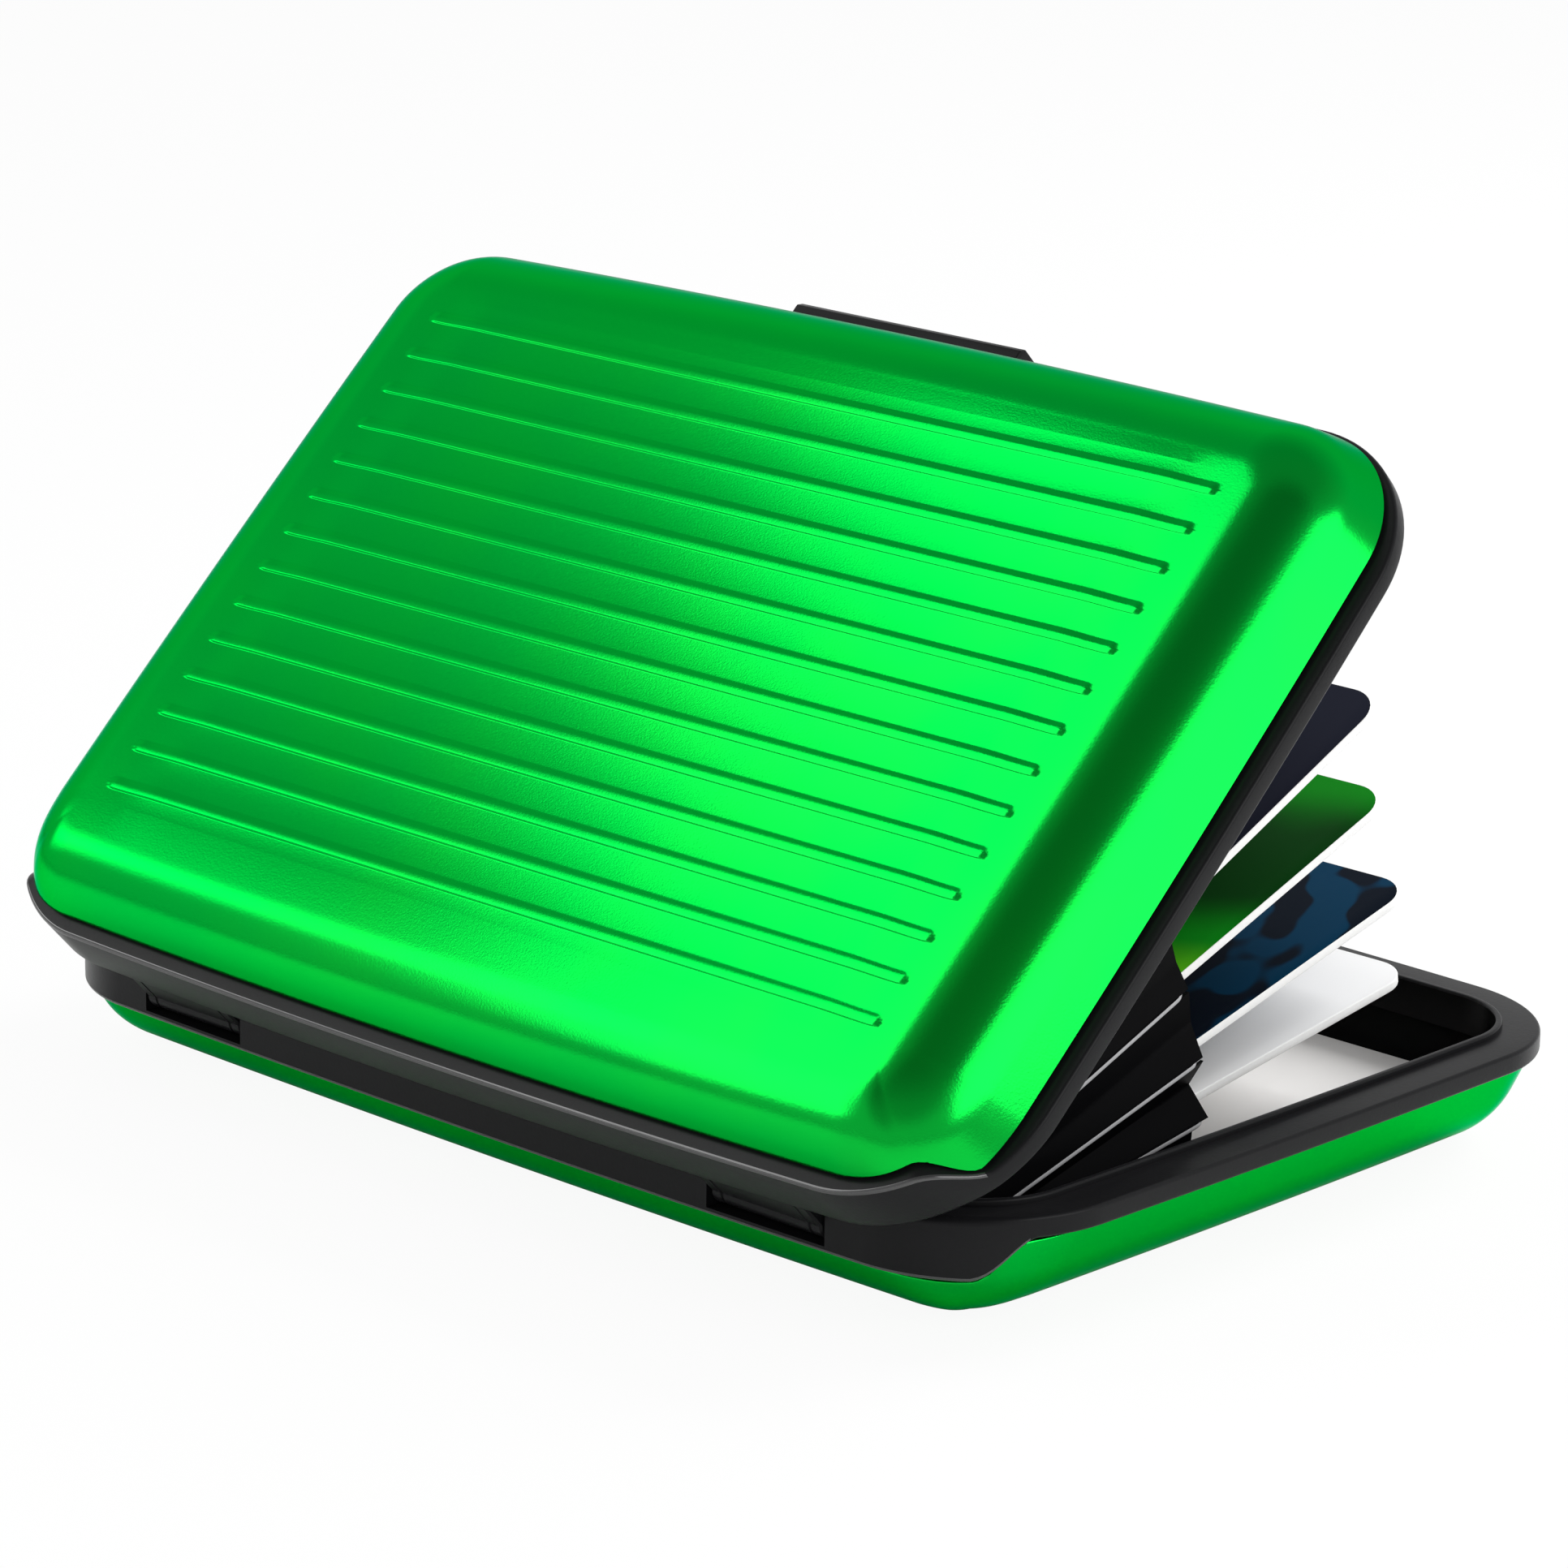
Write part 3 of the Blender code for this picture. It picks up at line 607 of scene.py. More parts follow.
def opening_point(station, grow):
    """This far outside the frame's opening."""
    half_length = LENGTH / 2 - OPENING_END_BAND + grow
    half_depth = (DEPTH - OPENING_FRONT_BAND - OPENING_REAR_BAND) / 2 + grow
    centre_y = (OPENING_REAR_BAND - OPENING_FRONT_BAND) / 2
    return plan_point(station, half_length, half_depth, OPENING_CORNER + grow, centre_y)


print("corner of the flange at", [round(v * 1000, 1) for v in flange_point(STATIONS[12], 0.0)], "mm")

# %% [markdown]
# The frames are low along the front and the ends and tall along the hinge. In the rear corners the seam
# between frame and shell climbs in a soft S from one height to the other.

# %% Height of the seam
SIDE_JUNCTION = 0.0020
REAR_JUNCTION = 0.0053
STEP_START_FROM_REAR = 0.0077
STEP_END_FROM_REAR = 0.0035
WALL_TURN = (0.04, 0.78)


def smooth(share):
    """A smooth step from 0 to 1."""
    share = min(max(share, 0.0), 1.0)
    return share * share * (3 - 2 * share)


def rear_share(station):
    """0 along the front and the ends, 1 along the hinge side."""
    from_rear = flange_point(station, 0.0)[1] + DEPTH / 2
    return smooth((STEP_START_FROM_REAR - from_rear) / (STEP_START_FROM_REAR - STEP_END_FROM_REAR))


def junction_height(station):
    return SIDE_JUNCTION + (REAR_JUNCTION - SIDE_JUNCTION) * rear_share(station)


def wall_foot(station):
    """Where the shell's wall would start if nothing trimmed it. It changes slowly round a whole rear corner."""
    out_x, out_y = station[2:]
    turned = math.atan2(-out_y, abs(out_x)) / QUARTER_TURN
    share = smooth((turned - WALL_TURN[0]) / (WALL_TURN[1] - WALL_TURN[0]))
    return SIDE_JUNCTION + (REAR_JUNCTION - SIDE_JUNCTION) * share + SEAT_GAP / 2


print("seam from", SIDE_JUNCTION * 1000, "to", REAR_JUNCTION * 1000, "mm")

# %% [markdown]
# ## The pressed shells
#
# A real shell is one sheet, drawn into a shallow pan: a short wall that leans in, a wide round edge and a flat
# top. A loft over the stations gives exactly that section all the way round. The wall is given its thickness by
# a second skin inside the first, because an open edge shows along the seam.
#
# The beads are pressed into the flat top. They repeat at an even pitch, so Geometry Nodes make them: one patch
# of sheet with one bead, bent up by its distance from the bead's middle line, and then copied along the depth.
# The crown is low. On the hinge's side it ends in a narrow rim, which draws a thin dark line, and on the latch's
# side it fades out. The whole field of beads stands a little proud of the sheet, which sags between them.

# %% One geometry tree for all beads
BEAD_PITCH = 0.0038
BEAD_INPUTS = {
    "Bead count": 14,
    "Pitch": BEAD_PITCH,
    "Bead length": 0.0865,
    "Bead width": 0.0011,
    "Bead height": 0.00014,
    "Patch half-width": BEAD_PITCH / 2,
    "Patch overhang": 0.0005,
    "Sheet sag": 0.00004,
    "Sheet rise": 0.00018,
    "Material": green_metal,
}
# The rim's share of a bead's half-width and of its height, and how much wider the soft side is
BEAD_RIM_SHARE = 0.25
BEAD_STEP_SHARE = 0.52
BEAD_SPREAD = 1.35
SOFT_FROM = 0.0001
RISE_ZONE = 0.005
MIDDLE_SHARE = 0.03
PATCH_COLUMNS = 50
PATCH_ROWS = 81
MERGE_WITHIN = 0.00001


class BeadTree(Tree):
    """A geometry tree with one named input for each size of the beads."""

    def __init__(self, name):
        super().__init__(bpy.data.node_groups.new(name, "GeometryNodeTree"))
        self.identifiers = {}
        face = self.group.interface
        face.new_socket("Geometry", in_out="OUTPUT", socket_type="NodeSocketGeometry")
        kinds = {int: "NodeSocketInt", float: "NodeSocketFloat"}
        for label, value in BEAD_INPUTS.items():
            kind = kinds.get(type(value), "NodeSocketMaterial")
            self.identifiers[label] = face.new_socket(label, in_out="INPUT", socket_type=kind).identifier
        self.source = self.group.nodes.new("NodeGroupInput")

    def size(self, label):
        return Wire(self, self.source.outputs[label])


beads = BeadTree("pressed beads")
grid = {"Size X": 2.0, "Size Y": 2.0, "Vertices X": PATCH_COLUMNS, "Vertices Y": PATCH_ROWS}
patch = beads.add("GeometryNodeMeshGrid", {}, grid, "Mesh")
u, v, _ = beads.xyz(beads.add("GeometryNodeInputPosition"))
half_width = beads.size("Bead width") / 2
reach = beads.size("Bead length") / 2 - half_width
end_zone = half_width * 2.0 + beads.size("Patch overhang") + RISE_ZONE
straight = reach - half_width - RISE_ZONE
x = beads.math("SIGN", u) * (
    beads.ramp(abs(u), 0.0, MIDDLE_SHARE) * straight + beads.ramp(abs(u), MIDDLE_SHARE, 1.0) * end_zone
)
y = v * beads.size("Patch half-width")
beyond = beads.math("MAXIMUM", abs(x) - reach, 0.0)
steep_side, soft_side = beads.math("MINIMUM", y, 0.0), beads.math("MAXIMUM", y, 0.0)
from_line = (beyond ** 2.0 + (steep_side + soft_side / BEAD_SPREAD) ** 2.0) ** 0.5 / half_width
soft = beads.ramp(soft_side, 0.0, SOFT_FROM)
crown = beads.math("MAXIMUM", 1.0 - from_line ** 2.0, 0.0) ** (1.0 + soft)
step = beads.ease(from_line, 1.0 - BEAD_RIM_SHARE, 1.0, 1.0, 0.0)
crown = crown + (step - crown) * (1.0 - soft) * BEAD_STEP_SHARE
gap = beads.ramp((abs(y) - half_width) / (beads.size("Patch half-width") - half_width), 0.0, 1.0)
inside = beads.ease((abs(x) - straight) / RISE_ZONE, 0.0, 1.0, 1.0, 0.0)
sheet = (beads.size("Sheet rise") - beads.size("Sheet sag") * gap * (2.0 - gap)) * inside
z = beads.size("Bead height") * crown + sheet
place = beads.add("ShaderNodeCombineXYZ", {}, {"X": x, "Y": y, "Z": z})
bent = beads.add("GeometryNodeSetPosition", {}, {"Geometry": patch, "Position": place})
start = (1.0 - beads.size("Bead count")) / 2.0 * beads.size("Pitch")
along_depth = {
    "Count": beads.size("Bead count"),
    "Start Location": beads.add("ShaderNodeCombineXYZ", {}, {"Y": start}),
    "Offset": beads.add("ShaderNodeCombineXYZ", {}, {"Y": beads.size("Pitch")}),
}
line = beads.add("GeometryNodeMeshLine", {}, along_depth)
copies = beads.add("GeometryNodeInstanceOnPoints", {}, {"Points": line, "Instance": bent})
real = beads.add("GeometryNodeRealizeInstances", {}, {"Geometry": copies})
joined = beads.add("GeometryNodeMergeByDistance", {}, {"Geometry": real, "Distance": MERGE_WITHIN})
painted = beads.add("GeometryNodeSetMaterial", {}, {"Geometry": joined, "Material": beads.size("Material")})
beads.add("NodeGroupOutput", {}, {0: painted})
print("the bead tree has", len(beads.group.nodes), "nodes")


# %% Run the tree
def bead_patches():
    """The patches of sheet that carry the beads, as a mesh."""
    item = linked("bead_patches", bpy.data.meshes.new("bead_patches"))
    step = item.modifiers.new("beads", "NODES")
    step.node_group = beads.group
    for label, value in BEAD_INPUTS.items():
        step[beads.identifiers[label]] = value
    mesh = baked(item)
    bpy.data.objects.remove(item)
    print("bead patches:", len(mesh.polygons), "faces")
    return mesh


# %% The wall and the round edge
FULL_BEAD_HEIGHT = 0.0004
SKIN_HEIGHT = HALF_HEIGHT - FULL_BEAD_HEIGHT
SHELL_WALL = 0.0008
SHELL_FILLET = 0.0079
SHELL_DRAFT = math.radians(25)
SHELL_STRAIGHT = 0.00015
SHELL_LIP = 0.0002
LIP_NUDGE = 0.00001
FILLET_STEPS = 20
LIP_STEPS = 3


def shell_section(station):
    """The sheet's section as (inset, height) points: the inner skin from the top down, then the outer one up.

    The whole wall and round edge hang on wall_foot. The seam then trims them off at its own height.
    """
    foot_sine, slope = math.sin(SHELL_DRAFT), math.tan(SHELL_DRAFT)
    low = wall_foot(station)
    start = max(low + SHELL_STRAIGHT, SKIN_HEIGHT - SHELL_FILLET * (1 - foot_sine))
    fillet = (SKIN_HEIGHT - start) / (1 - foot_sine)
    foot = SHELL_INSET + (start - low) * slope

    def lean_at(height):
        return SHELL_DRAFT if height <= start else math.asin(foot_sine + (height - start) / fillet)

    def inset_at(height):
        if height <= start:
            return SHELL_INSET + (height - low) * slope
        return foot + fillet * (math.cos(SHELL_DRAFT) - math.cos(lean_at(height)))

    edge = junction_height(station) + SEAT_GAP / 2
    lip = edge + SHELL_LIP
    first_lean = lean_at(lip)
    inside = [(inset_at(lip) + SHELL_WALL / math.cos(first_lean), edge)]
    outside = [(inset_at(lip) + off, edge + up) for up, off in quarter_round(SHELL_LIP, LIP_STEPS)]
    for step in range(FILLET_STEPS + 1):
        lean = first_lean + (QUARTER_TURN - first_lean) * step / FILLET_STEPS
        inset = foot + fillet * (math.cos(SHELL_DRAFT) - math.cos(lean))
        height = start + fillet * (math.sin(lean) - foot_sine)
        # Where the seam cuts into the round edge, the first point would fall on the lip's last one
        nudge = LIP_NUDGE if step == 0 and lip >= start else 0.0
        outside.append((inset, height + nudge))
        inside.append((inset + SHELL_WALL * math.cos(lean), height - SHELL_WALL * math.sin(lean)))
    return inside[::-1] + outside


print("section of the shell:", len(shell_section(STATIONS[0])), "points")


# %% A whole shell
def make_shell(node, body, side, patches):
    """side is 1 for the lid and -1 for the base."""
    shape = bmesh.new()
    sections = [shell_section(station) for station in STATIONS]
    rings = []
    for points in zip(*sections):
        rings.append([(*shell_point(s, inset), height) for s, (inset, height) in zip(STATIONS, points)])
    rows = lofted(shape, rings, capped=False)
    shape.faces.new(rows[0])
    inner = {vertex for row in rows[: FILLET_STEPS + 2] for vertex in row}
    for face in shape.faces:
        face.material_index = 1 if all(vertex in inner for vertex in face.verts) else 0
    outline = [edge for edge in shape.edges if edge.is_boundary]
    known = {*shape.verts, *shape.edges, *shape.faces}
    shape.from_mesh(patches)
    for vertex in shape.verts:
        if vertex not in known:
            vertex.co.z += SKIN_HEIGHT
    for face in shape.faces:
        if face not in known:
            face.material_index = 0
    holes = [edge for edge in shape.edges if edge.is_boundary and edge not in known]
    filled = bmesh.ops.triangle_fill(shape, use_beauty=True, edges=outline + holes)["geom"]
    print(node, "flat sheet between the beads:", sum(isinstance(f, bmesh.types.BMFace) for f in filled))
    for vertex in shape.verts:
        vertex.co.z *= side
    item = linked(node + "_dressed", mesh_of(shape, node), green_metal, black_lacquer)
    finished(item, body, node)


patches = bead_patches()
make_shell("lid_shell", "lid", 1, patches)
make_shell("base_shell", "base", -1, patches)

# %% [markdown]
# ## The moulded frames
#
# Each half has a moulded ring. Its section is drawn with the round edges that a mould leaves, and it changes
# from a low one along the front to a tall one along the hinge. The base's ring carries a raised rim round the
# opening, and the lid's ring has a rebate that takes it. Then windows, bores and the latch's recess are cut.

# %% Sections of the frames
FRAME_EDGE = 0.0003
FRAME_REAR_EDGE = 0.0007
SKIRT_HEIGHT = 0.0010
SKIRT_LEAN = math.radians(40)
RIM_WIDTH = 0.0006
RIM_HEIGHT = 0.0005
RIM_ROUND = 0.0002
EDGE_STEPS = 5
# From this share of the rear on, the ledge's edge takes the glossy grey with the painted highlight
GLOSSY_EDGE_SHARE = 0.02


def frame_section(station, step_height, step_width):
    """One section's points. The step is the base's raised rim, or the lid's rebate that takes it."""
    rear = rear_share(station)
    edge = FRAME_EDGE + (FRAME_REAR_EDGE - FRAME_EDGE) * rear
    ledge = junction_height(station) - SEAT_GAP / 2
    foot = SHELL_INSET + SHELL_WALL / math.cos(SHELL_DRAFT) + SEAT_GAP
    crest = ledge + SKIRT_HEIGHT
    points = []
    for rise, run in quarter_round(edge, EDGE_STEPS):
        points.append((*flange_point(station, run), HALF_GAP + rise))
    for run, drop in quarter_round(FRAME_EDGE, EDGE_STEPS):
        points.append((*flange_point(station, run), ledge - drop))
    points.append((*shell_point(station, foot), ledge))
    points.append((*shell_point(station, foot + SKIRT_HEIGHT * math.tan(SKIRT_LEAN)), crest))
    points.append((*opening_point(station, 0.0), crest))
    top = HALF_GAP + step_height
    rounding, steps = (RIM_ROUND, EDGE_STEPS) if step_height < 0 else (0.0, 0)
    for run, drop in quarter_round(rounding, steps):
        points.append((*opening_point(station, run), top + drop))
    for drop, run in quarter_round(rounding, steps):
        points.append((*opening_point(station, step_width - run), top + drop))
    points.append((*opening_point(station, step_width), HALF_GAP))
    return points


def frame_ring(name, side, step_height, step_width):
    """The whole ring, before anything is cut. side is 1 for the lid and -1 for the base."""
    sections = [frame_section(station, step_height, step_width) for station in STATIONS]
    shape = bmesh.new()
    rows = lofted(shape, [[(x, y, side * z) for x, y, z in ring] for ring in zip(*sections)], closed=True)
    lip = {
        vertex
        for row in rows[EDGE_STEPS + 1 : 2 * EDGE_STEPS + 2]
        for vertex, station in zip(row, STATIONS)
        if rear_share(station) > GLOSSY_EDGE_SHARE
    }
    inward = {vertex for row in rows[2 * EDGE_STEPS + 2 : 2 * EDGE_STEPS + 6] for vertex in row}
    for face in shape.faces:
        if all(vertex in inward for vertex in face.verts):
            face.material_index = 2
        else:
            face.material_index = 1 if all(vertex in lip for vertex in face.verts) else 0
    return linked(name, mesh_of(shape, name), black_plastic, glossy_edge_painted_highlight, black_lacquer)


print("frame section:", len(frame_section(STATIONS[0], -RIM_HEIGHT, RIM_WIDTH)), "points")


# %% Bars and arcs along the hinge
OVERRUN = 0.002
ROUND_STEPS = 32
EASE_STEPS = 4
EASE_SHARE = 0.45


def arc(centre, radius, start=0.0, sweep=2 * math.pi, steps=ROUND_STEPS, ends=False):
    """Points (y, z) round an arc. A full turn leaves its last point out."""
    points = []
    for step in range(steps + 1 if ends else steps):
        angle = start + sweep * step / steps
        points.append((centre[0] + radius * math.cos(angle), centre[1] + radius * math.sin(angle)))
    return points


def eased(corners, radius):
    """An outline of (y, z) corners, each rounded by this radius or by as much as its sides leave room for."""
    outline = []
    for number, corner in enumerate(corners):
        here = Vector(corner)
        back = Vector(corners[number - 1]) - here
        on = Vector(corners[(number + 1) % len(corners)]) - here
        half = back.angle(on) / 2
        run = min(radius / math.tan(half), back.length * EASE_SHARE, on.length * EASE_SHARE)
        first, last = here + back.normalized() * run, here + on.normalized() * run
        for step in range(EASE_STEPS + 1):
            share = step / EASE_STEPS
            outline.append(tuple(first * (1 - share) ** 2 + here * 2 * share * (1 - share) + last * share**2))
    return outline


def rectangle(low, high):
    return [(low[0], low[1]), (high[0], low[1]), (high[0], high[1]), (low[0], high[1])]


def bars(name, section, spans):
    """Straight bars along X with this section, one for each (start, end)."""
    shape = bmesh.new()
    for start, end in spans:
        lofted(shape, [[(x, y, z) for y, z in section] for x in (start, end)])
    return linked(name, mesh_of(shape, name))


def each_side(centre, length):
    return [(side * centre - length / 2, side * centre + length / 2) for side in (-1, 1)]


print("bars are ready")

# %% [markdown]
# ### Hinge
#
# The lid's frame has two lugs that hang into windows in the base's rear wall. Each lug is a barrel round the
# pin. Both ends of the barrel have a chamfer, and a thin groove near it.

# %% Sizes of the hinge and the latch
LUG_CENTRE = 0.0325
LUG_LENGTH = 0.0114
LUG_RADIUS = 0.0012
LUG_NECK = 0.0018
LUG_ROOT = 0.0025
LUG_PLAY = 0.0003
WINDOW_LENGTH = LUG_LENGTH + 2 * LUG_PLAY
WINDOW_ROUND = 0.0003
PIN_RADIUS = 0.00055
PIN_PLAY = 0.00015
PIN_SEAT = 0.0022
PIN_END_PLAY = 0.0003
LATCH_CENTRE = -0.0025
LATCH_LENGTH = 0.025
LATCH_PLAY = 0.0003
LATCH_NOTCH_LENGTH = LATCH_LENGTH + 2 * LATCH_PLAY
LATCH_PROUD = 0.0008
LATCH_FACE = 0.0009
LATCH_DROP = 0.0019
LATCH_HOOK = 0.0006
LATCH_HOOK_REACH = 0.0009
LATCH_PIVOT_HEIGHT = 0.0010
LATCH_PIVOT_FROM_FRONT = 0.0011
LATCH_BARREL = 0.0008
LATCH_PIN_RADIUS = 0.0004
LATCH_PIN_SEAT = 0.0015
LATCH_RECESS_BACK = 0.0007
LATCH_Y = DEPTH / 2 - LATCH_PIVOT_FROM_FRONT
print("windows of", round(WINDOW_LENGTH * 1000, 1), "mm at", LUG_CENTRE * 1000, "mm either side")

# %% The base's frame
base_frame = frame_ring("base_frame_dressed", -1, -RIM_HEIGHT, RIM_WIDTH)
window_low = (-DEPTH / 2 - OVERRUN, HINGE_Z - LUG_RADIUS - LUG_PLAY)
window = eased(rectangle(window_low, (HINGE_Y + LUG_RADIUS + LUG_PLAY, OVERRUN)), WINDOW_ROUND)
cut(base_frame, bars("windows", window, each_side(LUG_CENTRE, WINDOW_LENGTH)))
bore = arc((HINGE_Y, HINGE_Z), PIN_RADIUS + PIN_PLAY)
pin_reach = WINDOW_LENGTH + 2 * PIN_SEAT
cut(base_frame, bars("bores", bore, each_side(LUG_CENTRE, pin_reach + 2 * PIN_END_PLAY)))
catch_depth = DEPTH / 2 + LATCH_PROUD - LATCH_FACE - LATCH_HOOK_REACH - LATCH_PLAY
catch_top = LATCH_HOOK + LATCH_PLAY - LATCH_DROP
catch = rectangle((catch_depth, -SIDE_JUNCTION - OVERRUN), (DEPTH / 2 + OVERRUN, catch_top))
notch_start = LATCH_CENTRE - LATCH_NOTCH_LENGTH / 2
notch_span = (notch_start, notch_start + LATCH_NOTCH_LENGTH)
cut(base_frame, bars("catch", catch, [notch_span]))
finished(base_frame, "base", "base_frame")

# %% The lid's frame with its lugs
GROOVE_DEPTH = 0.00013
# How far from the barrel's end each step of its chamfer and groove is, and how deep
LUG_ENDS = (
    (0.0, 0.0002),
    (0.00015, 0.0),
    (0.0010, 0.0),
    (0.00108, GROOVE_DEPTH),
    (0.00122, GROOVE_DEPTH),
    (0.0013, 0.0),
)


def lug_section(shrink):
    """A barrel round the pin, with a neck that runs up into the frame's rear wall."""
    half_neck = LUG_NECK / 2 - shrink
    radius = LUG_RADIUS - shrink
    lean = math.acos(half_neck / radius)
    barrel = arc((HINGE_Y, HINGE_Z), radius, math.pi - lean, math.pi + 2 * lean, ends=True)
    return barrel + [(HINGE_Y + half_neck, LUG_ROOT), (HINGE_Y - half_neck, LUG_ROOT)]


def add_lug(shape, centre):
    places = [(along - LUG_LENGTH / 2, depth) for along, depth in LUG_ENDS]
    places += [(-along, depth) for along, depth in reversed(places)]
    rings = [[(centre + along, y, z) for y, z in lug_section(depth)] for along, depth in places]
    lofted(shape, rings)


lugs = bmesh.new()
for side in (-1, 1):
    add_lug(lugs, side * LUG_CENTRE)
lid_frame = frame_ring("lid_frame_dressed", 1, RIM_HEIGHT + SEAT_GAP - 2 * HALF_GAP, RIM_WIDTH + SEAT_GAP)
cut(lid_frame, linked("lugs", mesh_of(lugs, "lugs")), "UNION")
cut(lid_frame, bars("lug_bores", bore, each_side(LUG_CENTRE, WINDOW_LENGTH + 2 * LUG_PLAY)))
recess_back = LATCH_Y - LATCH_BARREL - LATCH_RECESS_BACK
recess = rectangle((recess_back, -OVERRUN), (DEPTH / 2 + OVERRUN, SIDE_JUNCTION + SHELL_STRAIGHT))
cut(lid_frame, bars("recess", recess, [notch_span]))
latch_bore = arc((LATCH_Y, LATCH_PIVOT_HEIGHT), LATCH_PIN_RADIUS + PIN_PLAY, steps=ROUND_STEPS // 2)
bore_reach = LATCH_NOTCH_LENGTH / 2 + LATCH_PIN_SEAT + PIN_END_PLAY
cut(lid_frame, bars("latch_bores", latch_bore, [(LATCH_CENTRE - bore_reach, LATCH_CENTRE + bore_reach)]))
finished(lid_frame, "lid", "lid_frame")

# %% [markdown]
# ### Latch
#
# The latch is one moulding: a barrel on its pin, an arm, a face plate that stands a little proud, and a hook
# that reaches under the base's frame. Its edges are rounded, so that they catch a line of light.

# %% The latch button
LATCH_ROUND = 0.00022
LATCH_END_ROUND = 0.00015


def latch_outline():
    outer = DEPTH / 2 + LATCH_PROUD
    inner = outer - LATCH_FACE
    arm_top = LATCH_PIVOT_HEIGHT + LATCH_BARREL
    arm_foot = LATCH_PIVOT_HEIGHT - LATCH_BARREL
    hook_tip = inner - LATCH_HOOK_REACH
    centre = (LATCH_Y, LATCH_PIVOT_HEIGHT)
    barrel = arc(centre, LATCH_BARREL, QUARTER_TURN, math.pi, ROUND_STEPS // 2, ends=True)
    plate = eased(
        [
            barrel[0],
            barrel[-1],
            (inner, arm_foot),
            (inner, LATCH_HOOK - LATCH_DROP),
            (hook_tip, LATCH_HOOK - LATCH_DROP),
            (hook_tip, -LATCH_DROP),
            (outer - LATCH_FACE / 2, -LATCH_DROP),
            (outer, LATCH_FACE / 2 - LATCH_DROP),
            (outer, arm_top - LATCH_FACE / 2),
            (outer - LATCH_FACE / 2, arm_top),
        ],
        LATCH_ROUND,
    )
    # The plate's first two corners are the barrel's ends, which stay sharp
    return barrel + plate[2 * (EASE_STEPS + 1) :]


latch_span = (LATCH_CENTRE - LATCH_LENGTH / 2, LATCH_CENTRE + LATCH_LENGTH / 2)
button = bars("latch_button_dressed", latch_outline(), [latch_span])
button.data.materials.append(black_plastic)
soft_ends = button.modifiers.new("ends", "BEVEL")
soft_ends.width = LATCH_END_ROUND
soft_ends.segments = 3
soft_ends.limit_method = "ANGLE"
soft_ends.angle_limit = math.radians(60)
hole_span = (latch_span[0] - OVERRUN, latch_span[1] + OVERRUN)
cut(button, bars("latch_hole", latch_bore, [hole_span]))
finished(button, "latch", "latch_button")

# %% [markdown]
# ## The accordion and the cards
#
# Dividers and cards are thin plates. The rim of a divider, where the film was cut, is painted paler as a painted
# highlight of the light that edge catches. The rim of a card shows its white core. Where each plate lies is read
# from the construction node that it stands for.

# %% Thin plates with round corners
CORNER_STEPS = 10
RIM_STEPS = 3


def plate_outline(low, high, corner):
    """Points round a rounded rectangle, between two (x, y) corners."""
    points = []
    centres = (
        (high[0] - corner, high[1] - corner),
        (low[0] + corner, high[1] - corner),
        (low[0] + corner, low[1] + corner),
        (high[0] - corner, low[1] + corner),
    )
    for quarter, centre in enumerate(centres):
        for step in range(CORNER_STEPS + 1):
            angle = (quarter + step / CORNER_STEPS) * QUARTER_TURN
            points.append((centre[0] + corner * math.cos(angle), centre[1] + corner * math.sin(angle)))
    return points


def thin_plate(name, low, high, corner, soften, rim_slope, faces, rim):
    """A plate between two corners, with a UV map over it and softened edges.

    Wherever the z of a face's normal is below rim_slope, the face has the rim's material.
    """
    shape = bmesh.new()
    rings = []
    for end, height in ((-1, low.z), (1, high.z)):
        rounding = list(quarter_round(soften, RIM_STEPS))
        for rise, inset in rounding[::-end]:
            near, far = (low.x + inset, low.y + inset), (high.x - inset, high.y - inset)
            outline = plate_outline(near, far, corner - inset)
            rings.append([(x, y, height - end * rise) for x, y in outline])
    lofted(shape, rings)
    chart = shape.loops.layers.uv.new("UVMap")
    for face in shape.faces:
        face.normal_update()
        face.material_index = 1 if abs(face.normal.z) < rim_slope else 0
        for loop in face.loops:
            along = (loop.vert.co.x - low.x) / (high.x - low.x)
            across = (loop.vert.co.y - low.y) / (high.y - low.y)
            loop[chart].uv = (along, across)
    return linked(name, mesh_of(shape, name), faces, rim)


# %% Dividers
DIVIDER_CORNER = 0.0016
DIVIDER_SOFT = 0.00018
DIVIDER_RIM = 0.3
cut_film = (DIVIDER_CORNER, DIVIDER_SOFT, DIVIDER_RIM, black_film, film_edge_painted_highlight)
divider_bodies = ("base", "pocket_1", "pocket_2", "pocket_3", "pocket_4", "pocket_5", "lid")
for number, body in enumerate(divider_bodies, start=1):
    node = "divider_%d" % number
    finished(thin_plate(node + "_dressed", *shut_box(node), *cut_film), body, node)

# %% Cards
CARD_CORNER = 0.00318
CARD_SOFT = 0.0001
CARD_RIM = 0.9
for number, body in enumerate(divider_bodies[:5], start=1):
    node = "card_%d" % number
    slot, paint = card_prints[node]
    lean = lean_of(node)
    low, high = shut_box(node, lean)
    face = printed_card(slot.replace("_", " ") + " print", paint)
    card = thin_plate(node + "_dressed", low, high, CARD_CORNER, CARD_SOFT, CARD_RIM, face, card_core)
    card.data.transform(Matrix.Rotation(lean, 4, "X"))
    finished(card, body, node)

# %% [markdown]
# The folds between the dividers are film too. Each fold of a pocket lies between the two bodies that its pocket
# lies between. The topmost fold lies between the last pocket and the lid, which no joint joins, though both turn
# about the same hinge. The folds keep the shape and place they have in the construction: nothing here bends them
# or puts them on a body.
#
# The construction keeps a gap between each fold and its dividers, through which daylight would show. So here the
# folds are grown until they end inside the dividers and meet at the pocket's rear corners.

# %% Folds
FOLD_LENGTH_CUTS = 7
FOLD_SEAM = 0.0003
SPINE_GROWTH = 0.0006
GUSSET_GROWTH = 0.0012


